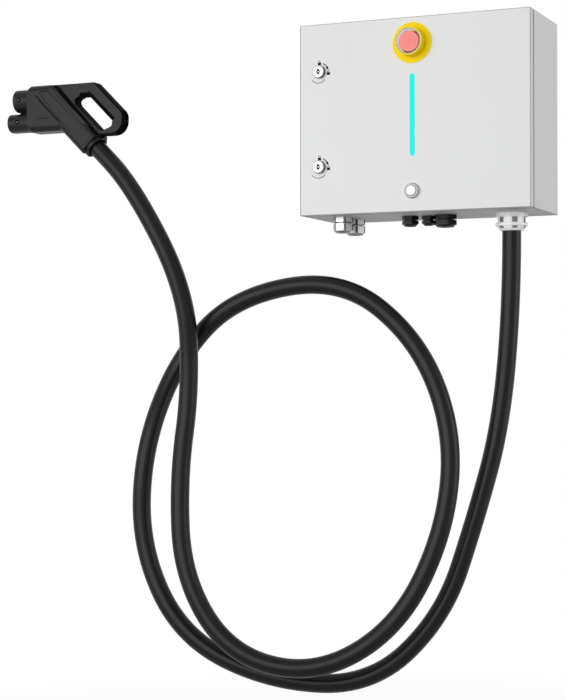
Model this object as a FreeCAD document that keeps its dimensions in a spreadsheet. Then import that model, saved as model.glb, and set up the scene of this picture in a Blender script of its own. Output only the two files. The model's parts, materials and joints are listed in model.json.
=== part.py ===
import FreeCAD, Part
import math
import os
import re
import Sketcher

# A wall-hung direct-current charger that feeds one vehicle from another.
# A sheet steel enclosure carries an emergency stop, a light bar and a push button on its door,
# cable glands under its floor, and a thick output cable that ends in a two-nose hand connector.
# Millimetres. The origin is the centre of the four wall bolts on the rear face, X runs to the right,
# Y runs into the wall and Z runs up, so the door faces -Y.

doc = FreeCAD.newDocument("vehicle_to_vehicle_charger")
sheet = doc.addObject("Spreadsheet::Sheet", "Sizes")

SIZES = [
    # enclosure
    ("box_w", 500, "width of the enclosure"),
    ("box_tall", 400, "height of the enclosure"),
    ("box_deep", 200, "wall face to door face"),
    ("sheet_t", 1.5, "steel sheet of body and door"),
    ("bend_r", 2.5, "outside radius of the folds"),
    ("door_deep", 20, "depth of the door tray"),
    ("seam_gap", 2, "gap between door tray and body"),
    ("rim_w", 28, "side wall to the edge of the front opening"),
    ("rim_tall", 20, "top and bottom wall to the edge of the front opening"),
    ("lip_deep", 12, "rain lip ahead of the front rim"),
    ("wall_hole_edge", 40, "wall bolts from the edges of the rear face"),
    ("wall_hole_dia", 9, "wall bolt holes"),
    ("stud_edge", 70, "plate studs from the edges of the rear face"),
    ("stud_dia", 8, "welded studs"),
    ("stud_foot_dia", 16, "shoulder under the mounting plate"),
    ("stud_foot", 12, "rear face to the seat of the plate"),
    ("stud_long", 26, "rear face to the stud's end"),
    # mounting plate and what it carries
    ("plate_edge", 25, "studs to the edges of the mounting plate"),
    ("plate_t", 2, "thickness of the mounting plate"),
    ("plate_corner", 30, "cropped corners"),
    ("stud_fit", 0.5, "play of the plate round its studs"),
    ("stud_nut_flats", 13, "stud nuts across flats"),
    ("stud_nut_t", 6.5, "stud nut thickness"),
    ("conv_x", -85, "converter centre"),
    ("conv_z", 14, "converter centre"),
    ("conv_w", 150, "converter width"),
    ("conv_tall", 210, "converter height"),
    ("conv_base", 40, "depth of the potted base"),
    ("conv_fin", 32, "fin height"),
    ("conv_fin_t", 3, "fin thickness"),
    ("conv_foot", 12, "mounting feet beyond the base"),
    ("conv_foot_t", 3, "thickness of the feet"),
    ("conv_strip", 28, "strip without fins, for the terminals"),
    ("conv_foot_end", 20, "feet short of the base's ends"),
    ("conv_fin_end", 4, "fins short of the base's ends"),
    ("conv_round", 3, "upright edges of the base"),
    ("relay_x", 55, "contactors, centre"),
    ("line_z", 105, "positive side, contactor and fuse terminal"),
    ("return_z", 35, "negative side"),
    ("relay_w", 62, "contactor width"),
    ("relay_tall", 50, "contactor height"),
    ("relay_deep", 62, "contactor depth"),
    ("relay_round", 4, "upright edges of the contactor"),
    ("relay_foot", 8, "contactor's foot beyond its case"),
    ("relay_foot_tall", 20, "height of the contactor's foot"),
    ("barrier_t", 3, "barrier between the contactor's posts"),
    ("barrier_rise", 6, "barrier ahead of the posts"),
    ("post_dia", 12, "terminal posts"),
    ("post_front", 88, "wall to the front of every terminal post"),
    ("relay_post_pitch", 36, "contactor terminal spacing"),
    ("fuse_x", 150, "fuse centre"),
    ("fuse_dia", 26, "fuse barrel"),
    ("fuse_long", 60, "fuse barrel"),
    ("fuse_span", 92, "fuse terminals, centre to centre"),
    ("fuse_base_w", 34, "fuse base width"),
    ("fuse_base_edge", 12, "fuse base beyond its terminals"),
    ("fuse_base_deep", 22, "fuse base depth"),
    ("bar_w", 18, "copper bar width"),
    ("bar_t", 3, "copper bar thickness"),
    ("bolt_flats", 13, "terminal bolts across flats"),
    ("bolt_head", 5, "terminal bolt heads"),
    ("board_x", 95, "control board centre"),
    ("board_z", -75, "control board centre"),
    ("board_w", 150, "control board width"),
    ("board_tall", 92, "control board height"),
    ("board_t", 1.6, "control board thickness"),
    ("board_foot", 10, "standoff height"),
    ("board_foot_dia", 7, "standoff diameter"),
    ("board_edge", 6, "standoff from the board's edge"),
    ("switch_w", 15, "board relays, width"),
    ("switch_tall", 19, "board relays, height"),
    ("switch_deep", 16, "board relays, depth"),
    ("switch_pitch", 20, "board relays, spacing"),
    ("switch_x", -18, "board relays, middle of the row from the board's centre"),
    ("switch_z", 24, "board relays, row above the board's centre"),
    ("chip_w", 20, "processor, width and height"),
    ("chip_t", 2.4, "processor thickness"),
    ("chip_x", 12, "processor from the board's centre"),
    ("chip_z", -8, "processor from the board's centre"),
    ("socket_w", 34, "board sockets, width"),
    ("socket_tall", 10, "board sockets, height"),
    ("socket_deep", 12, "board sockets, depth"),
    ("socket_pitch", 40, "board sockets, spacing"),
    ("socket_edge", 2, "board sockets from the board's lower edge"),
    ("can_dia", 12, "capacitor cans"),
    ("can_long", 20, "capacitor cans"),
    ("can_pitch", 16, "capacitor cans, spacing"),
    ("can_x", 52, "capacitor cans from the board's centre"),
    ("rail_x", -80, "terminal rail centre"),
    ("rail_z", -122, "terminal rail centre"),
    ("rail_long", 170, "terminal rail length"),
    ("rail_w", 35, "terminal rail height"),
    ("rail_neck", 27, "terminal rail between its flanges"),
    ("rail_deep", 7.5, "terminal rail depth"),
    ("rail_t", 1, "terminal rail sheet"),
    ("terminal_w", 9, "terminal block width"),
    ("terminal_pitch", 9.4, "terminal block spacing"),
    ("terminal_tall", 44, "terminal block height"),
    ("terminal_deep", 38, "terminal block depth"),
    ("terminal_low", 17, "depth of the terminal block's first step"),
    ("terminal_mid", 26.5, "depth of the terminal block's second step"),
    ("terminal_mid_tall", 28, "height of the terminal block at its second step"),
    ("terminal_top_tall", 19.5, "height of the terminal block's front"),
    ("lead_dia", 13, "inner power leads"),
    ("lead_apart", 14, "inner leads where they leave the sheath"),
    ("lug_dia", 15, "barrel of a cable lug"),
    ("lug_long", 18, "barrel of a cable lug"),
    ("lug_down", 10, "terminal to the lug's barrel"),
    # door and its hinges
    ("gasket_w", 10, "width of the foam gasket"),
    ("gasket_gap", 0.3, "play between gasket and lip"),
    ("gasket_round", 3, "corners of the gasket"),
    ("hinge_rise", 60, "hinges from the door's top and bottom"),
    ("hinge_inset", 5, "hinge pin from the side of the door"),
    ("hinge_back", 10, "hinge pin behind the door face"),
    ("pin_dia", 3, "hinge pin"),
    ("pin_fit", 0.05, "radial play on the pin"),
    ("knuckle_dia", 6, "hinge knuckles"),
    ("arm_t", 1.5, "hinge arm sheet"),
    ("arm_tall", 16, "hinge arm height"),
    ("arm_reach", 13, "pin to the back leg of the arm"),
    ("arm_foot", 8, "foot of the arm on the rim"),
    ("arm_drop", 1.5, "arm behind the pin's centre line"),
    ("leaf_tall", 44, "hinge leaf height"),
    ("leaf_half", 7, "half width of the leaf"),
    ("leaf_bridge", 4, "leaf strips beside the window"),
    ("knuckle_gap", 0.4, "play between knuckles"),
    ("pin_head_dia", 5, "pin head"),
    ("pin_head", 1.5, "pin head thickness"),
    # door locks
    ("lock_inset", 45, "lock from the left side"),
    ("lock_rise", 100.5, "locks from the door's top and bottom"),
    ("turn_gap", 0.3, "end play of turning and sliding pieces"),
    ("lock_base_dia", 27, "lock bezel at the door"),
    ("lock_face_dia", 24, "lock bezel at its face"),
    ("lock_proud", 9, "lock bezel ahead of the door"),
    ("lock_foot", 3, "straight foot of the lock bezel"),
    ("lock_edge", 1.2, "bevel at the lock bezel's face"),
    ("core_sunk", 1, "core's face behind the bezel's face"),
    ("lock_barrel_dia", 16, "threaded barrel"),
    ("lock_fit", 0.2, "radial play of the turning core"),
    ("core_face_dia", 16, "face of the core"),
    ("core_dia", 10, "shank of the core"),
    ("core_face_t", 6, "thickness of the core's face"),
    ("key_w", 5.6, "key recess width"),
    ("key_tall", 11.5, "key recess height"),
    ("key_deep", 7, "key recess depth"),
    ("key_pin_dia", 3, "centre pin of the key recess"),
    ("key_pin_sunk", 0.5, "centre pin behind the core's face"),
    ("lock_nut_flats", 21, "lock nut across flats"),
    ("lock_nut_t", 4, "lock nut thickness"),
    ("cam_gap", 1.2, "rim to the cam"),
    ("cam_t", 2.5, "cam thickness"),
    ("cam_w", 16, "cam width"),
    ("cam_round", 4, "corners of the cam"),
    ("cam_hub_dia", 18, "round end of the cam"),
    ("cam_long", 35, "core to the cam's tip"),
    ("cam_head_dia", 14, "head that traps the cam"),
    ("cam_head", 3, "head thickness"),
    # emergency stop
    ("stop_drop", 54, "door's top to the emergency stop"),
    ("panel_hole_dia", 22.4, "holes of the 22 mm devices"),
    ("plate_disc_dia", 84, "yellow legend disc"),
    ("disc_t", 1.5, "legend disc thickness"),
    ("collar_dia", 58, "yellow guard collar"),
    ("collar_wall", 2, "guard collar wall"),
    ("collar_foot", 2.5, "bevel at the collar's foot"),
    ("collar_edge", 0.8, "bevels at the front of collar and ring"),
    ("collar_proud", 24, "guard collar ahead of the door"),
    ("trim_wall", 2.4, "clear ring in the collar"),
    ("trim_proud", 25.5, "clear ring ahead of the door"),
    ("device_dia", 22, "threaded barrels of the devices"),
    ("device_back", 24, "barrel end behind the door face"),
    ("stop_flange_dia", 46, "flange of the stop's barrel"),
    ("stop_flange_t", 2, "flange of the stop's barrel"),
    ("stop_bore_dia", 16.4, "bore for the plunger"),
    ("plunger_dia", 16, "stop plunger"),
    ("plunger_end", 4.5, "plunger short of the barrel's end"),
    ("head_dia", 43, "mushroom head"),
    ("head_t", 10.5, "mushroom head thickness"),
    ("head_proud", 20.5, "mushroom head ahead of the door"),
    ("head_crown", 1.6, "rise of the head's centre"),
    ("head_edge", 1.8, "rounded rim of the head"),
    ("head_skirt", 4.5, "bevel behind the head"),
    ("head_cover", 3.7, "head ahead of its stem"),
    ("stem_dia", 10, "stem that carries the head"),
    ("stem_fit", 0.2, "play of the head on its stem"),
    ("device_nut_dia", 30, "ring nuts of the devices"),
    ("device_nut_t", 5, "ring nut thickness"),
    ("nut_groove_dia", 4, "grooves of the ring nuts"),
    ("contact_w", 30, "contact block width"),
    ("contact_tall", 38, "contact block height"),
    ("contact_deep", 32, "contact block depth"),
    ("contact_round", 1.5, "edges of the contact block"),
    ("well_dia", 6, "screw wells of the contact block"),
    ("well_deep", 8, "screw wells of the contact block"),
    ("well_edge", 7, "screw wells from the block's edges"),
    # push button
    ("button_rise", 43, "door's bottom to the push button"),
    ("bezel_base_dia", 33, "bezel at the door"),
    ("bezel_face_dia", 28, "bezel at its face"),
    ("bezel_proud", 8, "bezel ahead of the door"),
    ("bezel_foot", 2, "straight foot of the bezel"),
    ("bezel_edge", 1.2, "bevel at the bezel's face"),
    ("bezel_floor", 1.2, "bezel's floor ahead of the door"),
    ("cap_dia", 22, "lens of the button"),
    ("cap_fit", 0.3, "radial play of the lens"),
    ("cap_proud", 9.8, "lens ahead of the door"),
    ("cap_t", 5, "lens thickness"),
    ("cap_edge", 1.2, "rounded rim of the lens"),
    ("cap_crown", 0.6, "rise of the lens's centre"),
    ("cap_stem_dia", 12, "stem of the lens"),
    ("cap_stem_end", 4, "stem short of the barrel's end"),
    # light bar
    ("light_z", -1.5, "light bar centre"),
    ("light_long", 169, "light bar length"),
    ("light_w", 11, "light bar width"),
    ("light_fit", 0.2, "play of the lens in its slot"),
    ("light_proud", 0.4, "lens ahead of the door"),
    ("light_rim", 4, "flange behind the door sheet"),
    ("light_rim_t", 1.5, "flange thickness"),
    ("light_case_deep", 13, "depth of the light's case"),
    ("light_case_t", 1.5, "wall of the light's case"),
    ("light_board_t", 1.6, "circuit board of the light"),
    ("light_board_fit", 0.3, "play round the board"),
    ("lamp_w", 4, "lamps of the light, width"),
    ("lamp_tall", 5, "lamps of the light, height"),
    ("lamp_t", 1.6, "lamps of the light, thickness"),
    ("lamp_edge", 8, "first and last lamp from the board's ends"),
    # cable and its gland
    ("cable_dia", 39, "output cable"),
    ("gland_side", 71.5, "output gland from the right side"),
    ("gland_y", 95, "output gland from the wall"),
    ("gland_flange_dia", 67, "output gland flange"),
    ("gland_flange_t", 9.5, "output gland flange"),
    ("gland_body_dia", 57, "output gland body"),
    ("gland_body_t", 11.5, "output gland body"),
    ("gland_cap_dia", 57, "output gland nut"),
    ("gland_cap_t", 16.5, "output gland nut with its collar"),
    ("gland_collar_dia", 67, "collar of the output nut"),
    ("gland_collar_t", 7.6, "collar of the output nut"),
    ("gland_flute_w", 11, "grooves of the output gland"),
    ("gland_flute", 2.6, "depth of the grooves"),
    ("gland_edge", 1.5, "bevels of the output gland"),
    ("gland_slope", 7, "height of the output nut's tapered end"),
    ("gland_taper", 4.5, "how far the output nut narrows"),
    ("gland_floor", 4, "end wall of the output nut"),
    ("gland_seal", 3, "wall of the output gland's seal"),
    ("gland_thread_dia", 50, "output gland thread"),
    ("gland_thread", 14, "thread above the floor's underside"),
    ("gland_hole_fit", 0.25, "play of threads in the floor"),
    ("gland_nut_flats", 60, "output locknut across flats"),
    ("gland_nut_t", 7, "output locknut"),
    ("cable_fit", 0.2, "play of the cable in rigid bores"),
    ("tail_rise", 30, "cable sheath above the floor"),
    # nickel glands at the left
    ("nickel_side", 72, "nickel glands from the left side"),
    ("nickel_front", 135, "front nickel gland from the wall"),
    ("nickel_rear", 65, "rear nickel gland from the wall"),
    ("nickel_flats", 39, "nickel gland across flats"),
    ("nickel_thread", 32, "nickel gland thread"),
    ("nickel_hang", 33, "nickel gland below the floor"),
    ("nickel_body", 11, "nickel gland's fixed hexagon"),
    ("nickel_bore", 18, "cable bore of the nickel seal"),
    # what all small glands share
    ("neck_t", 2, "thread that shows between hexagon and cap nut"),
    ("thread_root", 0.5, "depth of the threads"),
    ("thread_rise", 8, "threads above the enclosure's floor"),
    ("bore_wall", 4, "wall of a gland's threaded end"),
    ("seal_wall", 2.6, "threaded wall round the seal"),
    ("seal_sunk", 2, "seal's pocket in the body"),
    ("seal_fit", 0.1, "play round a seal"),
    ("cap_lip", 1, "cap's mouth outside the seal's bore"),
    ("cap_floor", 2.5, "end wall of a cap nut"),
    ("dome_w", 4.6, "how far a cap narrows at its end"),
    ("dome_t", 4.5, "height of a cap's rounded end"),
    ("cap_step", 1, "round collar above a cap's hexagon"),
    ("locknut_rim", 6, "locknut across flats beyond its thread"),
    ("locknut_t", 5, "locknut thickness"),
    # black glands
    ("black_small_x", -3, "small black gland"),
    ("black_small_y", 90, "small black gland from the wall"),
    ("black_small_flats", 27, "small black gland across flats"),
    ("black_small_thread", 20, "small black gland thread"),
    ("black_small_hang", 20, "small black gland below the floor"),
    ("black_small_body", 6.8, "small black gland's fixed hexagon"),
    ("black_small_bore", 9, "cable bore of its seal"),
    ("black_mid_x", -40, "middle black gland"),
    ("black_mid_y", 101, "middle black gland from the wall"),
    ("black_mid_flats", 32, "middle black gland across flats"),
    ("black_mid_thread", 25, "middle black gland thread"),
    ("black_mid_hang", 21.5, "middle black gland below the floor"),
    ("black_mid_body", 7.3, "middle black gland's fixed hexagon"),
    ("black_mid_bore", 13, "cable bore of its seal"),
    ("black_large_x", 38, "large black gland"),
    ("black_large_y", 103, "large black gland from the wall"),
    ("black_large_flats", 43, "large black gland across flats"),
    ("black_large_thread", 32, "large black gland thread"),
    ("black_large_hang", 25.5, "large black gland below the floor"),
    ("black_large_body", 8.7, "large black gland's fixed hexagon"),
    ("black_large_bore", 18, "cable bore of its seal"),
    # hand connector, measured from the centre of its cable entry
    ("plug_x", -720, "cable entry"),
    ("plug_y", 226, "cable entry ahead of the wall"),
    ("plug_z", -35, "cable entry"),
    ("plug_thick", 60, "connector across its halves"),
    ("plug_front", 162, "entry to the front face"),
    ("plug_base", 39, "entry to the underside"),
    ("plug_top", 142, "entry to the top edge"),
    ("plug_round", 15, "long edges of the housing"),
    ("grip_dia", 54.5, "slanted cable housing"),
    ("grip_long", 170, "length of the slanted housing"),
    ("grip_thick", 62, "slanted housing across its halves"),
    ("grip_round", 14, "its long edges"),
    ("grip_mouth", 16, "round collar at the cable entry"),
    ("grip_collar", 0.5, "collar beyond the slanted housing"),
    ("grip_end", 10, "closed end of the slanted housing"),
    ("entry_dia", 46, "mouth for the cable"),
    ("entry_deep", 30, "depth of the mouth"),
    ("handle_thick", 30, "loop handle across"),
    ("handle_round", 4, "edges of the loop handle"),
    ("handle_end", 74.5, "entry to the handle's end"),
    ("handle_low", 25.2, "entry to the handle's underside"),
    ("handle_slope", 149.5, "slanted edge, across plus up"),
    ("handle_top_r", 24, "handle corner"),
    ("handle_end_r", 28, "handle end"),
    ("slot_top", 112, "hand slot's upper edge"),
    ("slot_inner", 61, "slot's inner side, across plus up"),
    ("slot_outer", 102.5, "slot's outer side, across plus up"),
    ("slot_end", 2, "slot's lower end, across minus up"),
    ("slot_r", 10, "corners of the hand slot"),
    ("loop_root", 20, "loop handle inside the housing"),
    ("shell_wall", 3, "wall of the housing"),
    ("signal_dia", 50, "upper nose"),
    ("signal_end", 202, "entry to the upper nose's end"),
    ("signal_up", 112.5, "upper nose axis"),
    ("signal_bore_dia", 43, "recess of the upper nose"),
    ("nose_edge", 2, "rounded end of the upper nose"),
    ("nose_fit", 0.1, "play of the noses in the housing"),
    ("power_w", 40.5, "lower nose height"),
    ("power_wide", 52, "lower nose width"),
    ("power_end", 213.5, "entry to the lower nose's end"),
    ("power_up", 63, "lower nose axis"),
    ("power_pitch", 25, "power contacts, centre to centre"),
    ("power_bore_dia", 18, "power contact wells"),
    ("nose_deep", 30, "depth of the recesses"),
    ("nose_root", 8, "noses inside the housing"),
    ("core_fit", 0.4, "play of the inner core"),
    ("core_root", 30, "core's round end short of the slanted housing's"),
    ("grommet_t", 14, "rubber grommet in the mouth"),
    ("grommet_in", 6, "mouth to the grommet"),
    ("contact_dia", 7, "signal contacts"),
    ("contact_long", 17, "signal contacts"),
    ("contact_ring", 26, "signal contacts, circle"),
    ("contact_wall", 1.75, "wall of the contacts"),
    ("contact_floor", 4, "closed foot of the contacts"),
    ("power_contact_dia", 12, "power contacts"),
    ("power_contact_long", 13, "power contacts"),
    ("screw_head_dia", 7, "housing screw heads"),
    ("screw_dia", 4, "housing screws"),
    ("screw_grip", 8, "housing screws in the far half"),
    ("screw_fit", 0.1, "radial play of the housing screws"),
    ("screw_head", 3.5, "housing screw heads"),
    ("screw_sunk", 4.5, "seat of the heads below the surface"),
    ("screw_back", 40, "rear screw ahead of the entry"),
    ("screw_down", 13, "rear screw below the top edge"),
    ("screw_mid_in", 13, "middle screw from the slanted edge"),
    ("screw_mid_up", 11.5, "middle screw above the handle's half height"),
    ("screw_end_in", 22, "end screw from the handle's end"),
    ("screw_end_up", 17, "end screw above the handle's underside"),
    ("split_reach", 300, "blocks that split the housing"),
]
for row, (alias, value, note) in enumerate(SIZES, start=1):
    sheet.set(f"A{row}", note)
    sheet.set(f"B{row}", str(value))
    sheet.setAlias(f"B{row}", alias)
doc.recompute()
WORDS = {alias for alias, value, note in SIZES}


def bound(text):
    """An expression on the sheet's names, as other objects have to write it."""
    return re.sub(r"[a-z_]+", lambda word: "Sizes." + word[0] if word[0] in WORDS else word[0], text)


def size(text):
    """The present value of an expression on the sheet's names."""
    return float(sheet.evalExpression(text))


# Sketches and features

def new_body(name):
    """An empty PartDesign body."""
    return doc.addObject("PartDesign::Body", name)


def rectangle(wide, tall, across="0", up="0"):
    """The corners of an upright rectangle round a centre."""
    left, right = f"({across})-({wide})/2", f"({across})+({wide})/2"
    low, high = f"({up})-({tall})/2", f"({up})+({tall})/2"
    return [(left, low), (right, low), (right, high), (left, high)]


def hexagon(flats, across="0", up="0"):
    """The corners of a hexagon, from its width across flats."""
    corner, half = f"({flats})/sqrt(3)", f"({flats})/2"
    short = f"({flats})/sqrt(12)"
    ring = [(corner, "0"), (short, half), (f"-{short}", half),
            (f"-{corner}", "0"), (f"-{short}", f"-{half}"), (short, f"-{half}")]
    return [(f"({across})+({a})", f"({up})+({b})") for a, b in ring]


def hold(drawing, index, point, across, up):
    """Hold one point of a sketch at two lengths from its origin."""
    for kind, text in (("DistanceX", across), ("DistanceY", up)):
        row = drawing.addConstraint(Sketcher.Constraint(kind, -1, 1, index, point, size(text)))
        drawing.setExpression(f"Constraints[{row}]", bound(text))


def sketch(body, name, plane, loops=(), circles=(), lift="0"):
    """A sketch on one of the body's own planes: closed loops of corners, and (x, y, diameter) circles."""
    drawing = body.newObject("Sketcher::SketchObject", name)
    face = [item for item in body.Origin.OriginFeatures if item.Role == plane + "_Plane"][0]
    drawing.AttachmentSupport = (face, [""])
    drawing.MapMode = "FlatFace"
    drawing.setExpression("AttachmentOffset.Base.z", bound(lift))
    for corners in loops:
        first = drawing.GeometryCount
        count = len(corners)
        spots = [FreeCAD.Vector(size(across), size(up), 0) for across, up in corners]
        for turn in range(count):
            drawing.addGeometry(Part.LineSegment(spots[turn], spots[(turn + 1) % count]))
        for turn in range(count):
            following = first + (turn + 1) % count
            drawing.addConstraint(Sketcher.Constraint("Coincident", first + turn, 2, following, 1))
        for turn, (across, up) in enumerate(corners):
            hold(drawing, first + turn, 1, across, up)
    for across, up, wide in circles:
        centre = FreeCAD.Vector(size(across), size(up), 0)
        index = drawing.addGeometry(Part.Circle(centre, FreeCAD.Vector(0, 0, 1), size(wide) / 2))
        hold(drawing, index, 3, across, up)
        row = drawing.addConstraint(Sketcher.Constraint("Diameter", index, size(wide)))
        drawing.setExpression(f"Constraints[{row}]", bound(wide))
    return drawing


def pad(body, profile, length, backwards=False):
    """Extrude a sketch along its plane's normal."""
    feature = body.newObject("PartDesign::Pad", "Pad")
    feature.Profile = profile
    feature.setExpression("Length", bound(length))
    feature.Reversed = backwards
    profile.Visibility = False
    return feature


def pocket(body, profile, length, forwards=False):
    """Cut a sketch against its plane's normal, or along it."""
    feature = body.newObject("PartDesign::Pocket", "Pocket")
    feature.Profile = profile
    feature.setExpression("Length", bound(length))
    feature.Reversed = forwards
    return feature


def spin(body, profile):
    """Revolve a half section about the sketch's upright axis."""
    feature = body.newObject("PartDesign::Revolution", "Revolution")
    feature.Profile = profile
    feature.ReferenceAxis = (profile, ["V_Axis"])
    feature.Angle = 360
    return feature


def around(body, feature, count):
    """Repeat a feature in a full circle about the sketch's normal."""
    pattern = body.newObject("PartDesign::PolarPattern", "PolarPattern")
    pattern.Originals = [feature]
    pattern.Axis = (feature.Profile[0], ["N_Axis"])
    pattern.Angle = 360
    pattern.Occurrences = count
    body.Tip = pattern
    return pattern


def soften(body, radius, chosen, chamfer=False):
    """Round or chamfer the edges of the body's latest feature that a test picks."""
    doc.recompute()
    base = body.Tip
    names = [f"Edge{number}" for number, edge in enumerate(base.Shape.Edges, start=1) if chosen(edge)]
    kind = "Chamfer" if chamfer else "Fillet"
    feature = body.newObject("PartDesign::" + kind, kind)
    feature.Base = (base, names)
    feature.setExpression("Size" if chamfer else "Radius", bound(radius))
    return feature


def along(edge, direction):
    """Whether a straight edge runs along a direction."""
    if not isinstance(edge.Curve, Part.Line):
        return False
    return edge.tangentAt(edge.FirstParameter).cross(direction).Length < 1e-6


def place(thing, across="0", ahead="0", up="0"):
    """Put an object at a distance to the right, ahead of the wall, and up."""
    for axis, text in (("x", across), ("y", f"-({ahead})"), ("z", up)):
        thing.setExpression("Placement.Base." + axis, bound(text))
    return thing


X_AXIS, Y_AXIS, Z_AXIS = FreeCAD.Vector(1, 0, 0), FreeCAD.Vector(0, 1, 0), FreeCAD.Vector(0, 0, 1)


def turned_up(name, section, across="0", ahead="0"):
    """A round piece with an upright axis, from (radius, height) pairs."""
    body = new_body(name)
    spin(body, sketch(body, "section", "XZ", [section]))
    return place(body, across, ahead)


def turned_ahead(name, section, across="0", up="0"):
    """A round piece whose axis points out of the door, from (radius, distance from the wall) pairs."""
    body = new_body(name)
    flipped = [(radius, f"-({ahead})") for radius, ahead in section]
    spin(body, sketch(body, "section", "XY", [flipped]))
    return place(body, across, "0", up)


# Part primitives for plain blocks, and their booleans

def block(name, wide, deep, tall, across, rear, up):
    """A box round a centre line, standing ahead of its rear face."""
    solid = doc.addObject("Part::Box", name)
    for field, text in (("Length", wide), ("Width", deep), ("Height", tall)):
        solid.setExpression(field, bound(text))
    return place(solid, f"({across})-({wide})/2", f"({rear})+({deep})", f"({up})-({tall})/2")


def post(name, wide, long, across, rear, up):
    """A round bar that points out of the wall."""
    solid = doc.addObject("Part::Cylinder", name)
    solid.setExpression("Radius", bound(f"({wide})/2"))
    solid.setExpression("Height", bound(long))
    solid.Placement.Rotation = FreeCAD.Rotation(X_AXIS, 90)
    return place(solid, across, rear, up)


def upright(name, wide, long, across, ahead, low):
    """A round bar that stands up."""
    solid = doc.addObject("Part::Cylinder", name)
    solid.setExpression("Radius", bound(f"({wide})/2"))
    solid.setExpression("Height", bound(long))
    return place(solid, across, ahead, low)


def fused(name, *pieces):
    """One solid from several."""
    solid = doc.addObject("Part::MultiFuse", name)
    solid.Shapes = list(pieces)
    solid.Refine = True
    return solid


def cut(name, base, tool):
    """A solid less another."""
    solid = doc.addObject("Part::Cut", name)
    solid.Base = base
    solid.Tool = tool
    return solid


def together(name, *pieces):
    """Separate solids that share one node."""
    group = doc.addObject("Part::Compound", name)
    group.Links = list(pieces)
    return group


nodes = []


def node(label, thing):
    """Name an object as one of the part's nodes."""
    thing.Label = label
    nodes.append(thing)
    return thing


# Places that several pieces share, as distances from the wall
BODY_FRONT = "(box_deep-door_deep-seam_gap)"
LIP_FRONT = f"({BODY_FRONT}+lip_deep)"
SHEET_BACK = "(box_deep-sheet_t)"
PIN_X = "(box_w/2-hinge_inset)"
PIN_AHEAD = "(box_deep-hinge_back)"
LOCK_X = "(lock_inset-box_w/2)"
LOCK_Z = "(box_tall/2-lock_rise)"
HINGE_Z = "(box_tall/2-hinge_rise)"
STOP_Z = "(box_tall/2-stop_drop)"
BUTTON_Z = "(button_rise-box_tall/2)"
GLAND_X = "(box_w/2-gland_side)"
NICKEL_X = "(nickel_side-box_w/2)"
FLOOR = "(-box_tall/2)"
FLOOR_IN = "(sheet_t-box_tall/2)"
PLATE_FRONT = "(stud_foot+plate_t)"
OPENING = ("box_w-2*rim_w", "box_tall-2*rim_tall")

# Enclosure body: a folded and welded box with a rim, a rain lip, welded studs and cable holes
body = new_body("Enclosure")
pad(body, sketch(body, "outside", "XZ", [rectangle("box_w", "box_tall")]), BODY_FRONT)
soften(body, "bend_r", lambda edge: along(edge, Y_AXIS) or edge.BoundBox.YMin > -1e-6)
inside = rectangle("box_w-2*sheet_t", "box_tall-2*sheet_t")
pocket(body, sketch(body, "hollow", "XZ", [inside], lift=BODY_FRONT), f"{BODY_FRONT}-sheet_t")
rim = sketch(body, "rim", "XZ", [inside, rectangle(*OPENING)], lift=f"{BODY_FRONT}-sheet_t")
pad(body, rim, "sheet_t")
outer_lip = rectangle(*[f"{length}+2*sheet_t" for length in OPENING])
lip = sketch(body, "lip", "XZ", [outer_lip, rectangle(*OPENING)], lift=f"{BODY_FRONT}-sheet_t")
pad(body, lip, "lip_deep+sheet_t")
corners = [(side, level) for side in (-1, 1) for level in (-1, 1)]
studs = [(f"{side}*(box_w/2-stud_edge)", f"{level}*(box_tall/2-stud_edge)") for side, level in corners]
feet = sketch(body, "stud_feet", "XZ", circles=[(*spot, "stud_foot_dia") for spot in studs], lift="sheet_t/2")
pad(body, feet, "stud_foot-sheet_t/2")
ends = sketch(body, "stud_ends", "XZ", circles=[(*spot, "stud_dia") for spot in studs], lift="sheet_t/2")
pad(body, ends, "stud_long-sheet_t/2")
wall_holes = [(f"{side}*(box_w/2-wall_hole_edge)", f"{level}*(box_tall/2-wall_hole_edge)", "wall_hole_dia")
              for side, level in corners]
pocket(body, sketch(body, "wall_holes", "XZ", circles=wall_holes, lift="2*sheet_t"), "3*sheet_t")
GLANDS = [
    (GLAND_X, "gland_y", "gland_thread_dia"),
    (NICKEL_X, "nickel_front", "nickel_thread"),
    (NICKEL_X, "nickel_rear", "nickel_thread"),
    ("black_small_x", "black_small_y", "black_small_thread"),
    ("black_mid_x", "black_mid_y", "black_mid_thread"),
    ("black_large_x", "black_large_y", "black_large_thread"),
]
floor_holes = [(across, f"-{ahead}", f"{wide}+2*gland_hole_fit") for across, ahead, wide in GLANDS]
pocket(body, sketch(body, "floor_holes", "XY", circles=floor_holes, lift=FLOOR_IN), "2*sheet_t")
node("enclosure_body", body)

# Door: a folded tray that closes over the rain lip
door = new_body("Door")
tray = sketch(door, "outside", "XZ", [rectangle("box_w", "box_tall")], lift="box_deep-door_deep")
pad(door, tray, "door_deep")
front_edge = -size("box_deep") + 1e-6
soften(door, "bend_r", lambda edge: along(edge, Y_AXIS) or edge.BoundBox.YMax < front_edge)
hollow = sketch(door, "hollow", "XZ", [inside], lift="box_deep-door_deep")
pocket(door, hollow, "door_deep-sheet_t", forwards=True)
device_holes = [("0", STOP_Z, "panel_hole_dia"), ("0", BUTTON_Z, "panel_hole_dia")]
lock_holes = [(LOCK_X, f"{side}*{LOCK_Z}", "lock_barrel_dia+2*lock_fit") for side in (-1, 1)]
holes = sketch(door, "device_holes", "XZ", circles=device_holes + lock_holes, lift="box_deep")
pocket(door, holes, "2*sheet_t")
slot_w = "light_w+2*light_fit"
straight = "light_long-light_w"
light_ends = [("0", f"light_z+{side}*({straight})/2", slot_w) for side in (-1, 1)]
for end in light_ends:
    pocket(door, sketch(door, "light_slot_end", "XZ", circles=[end], lift="box_deep"), "2*sheet_t")
slot = sketch(door, "light_slot", "XZ", [rectangle(slot_w, straight, "0", "light_z")], lift="box_deep")
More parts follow.
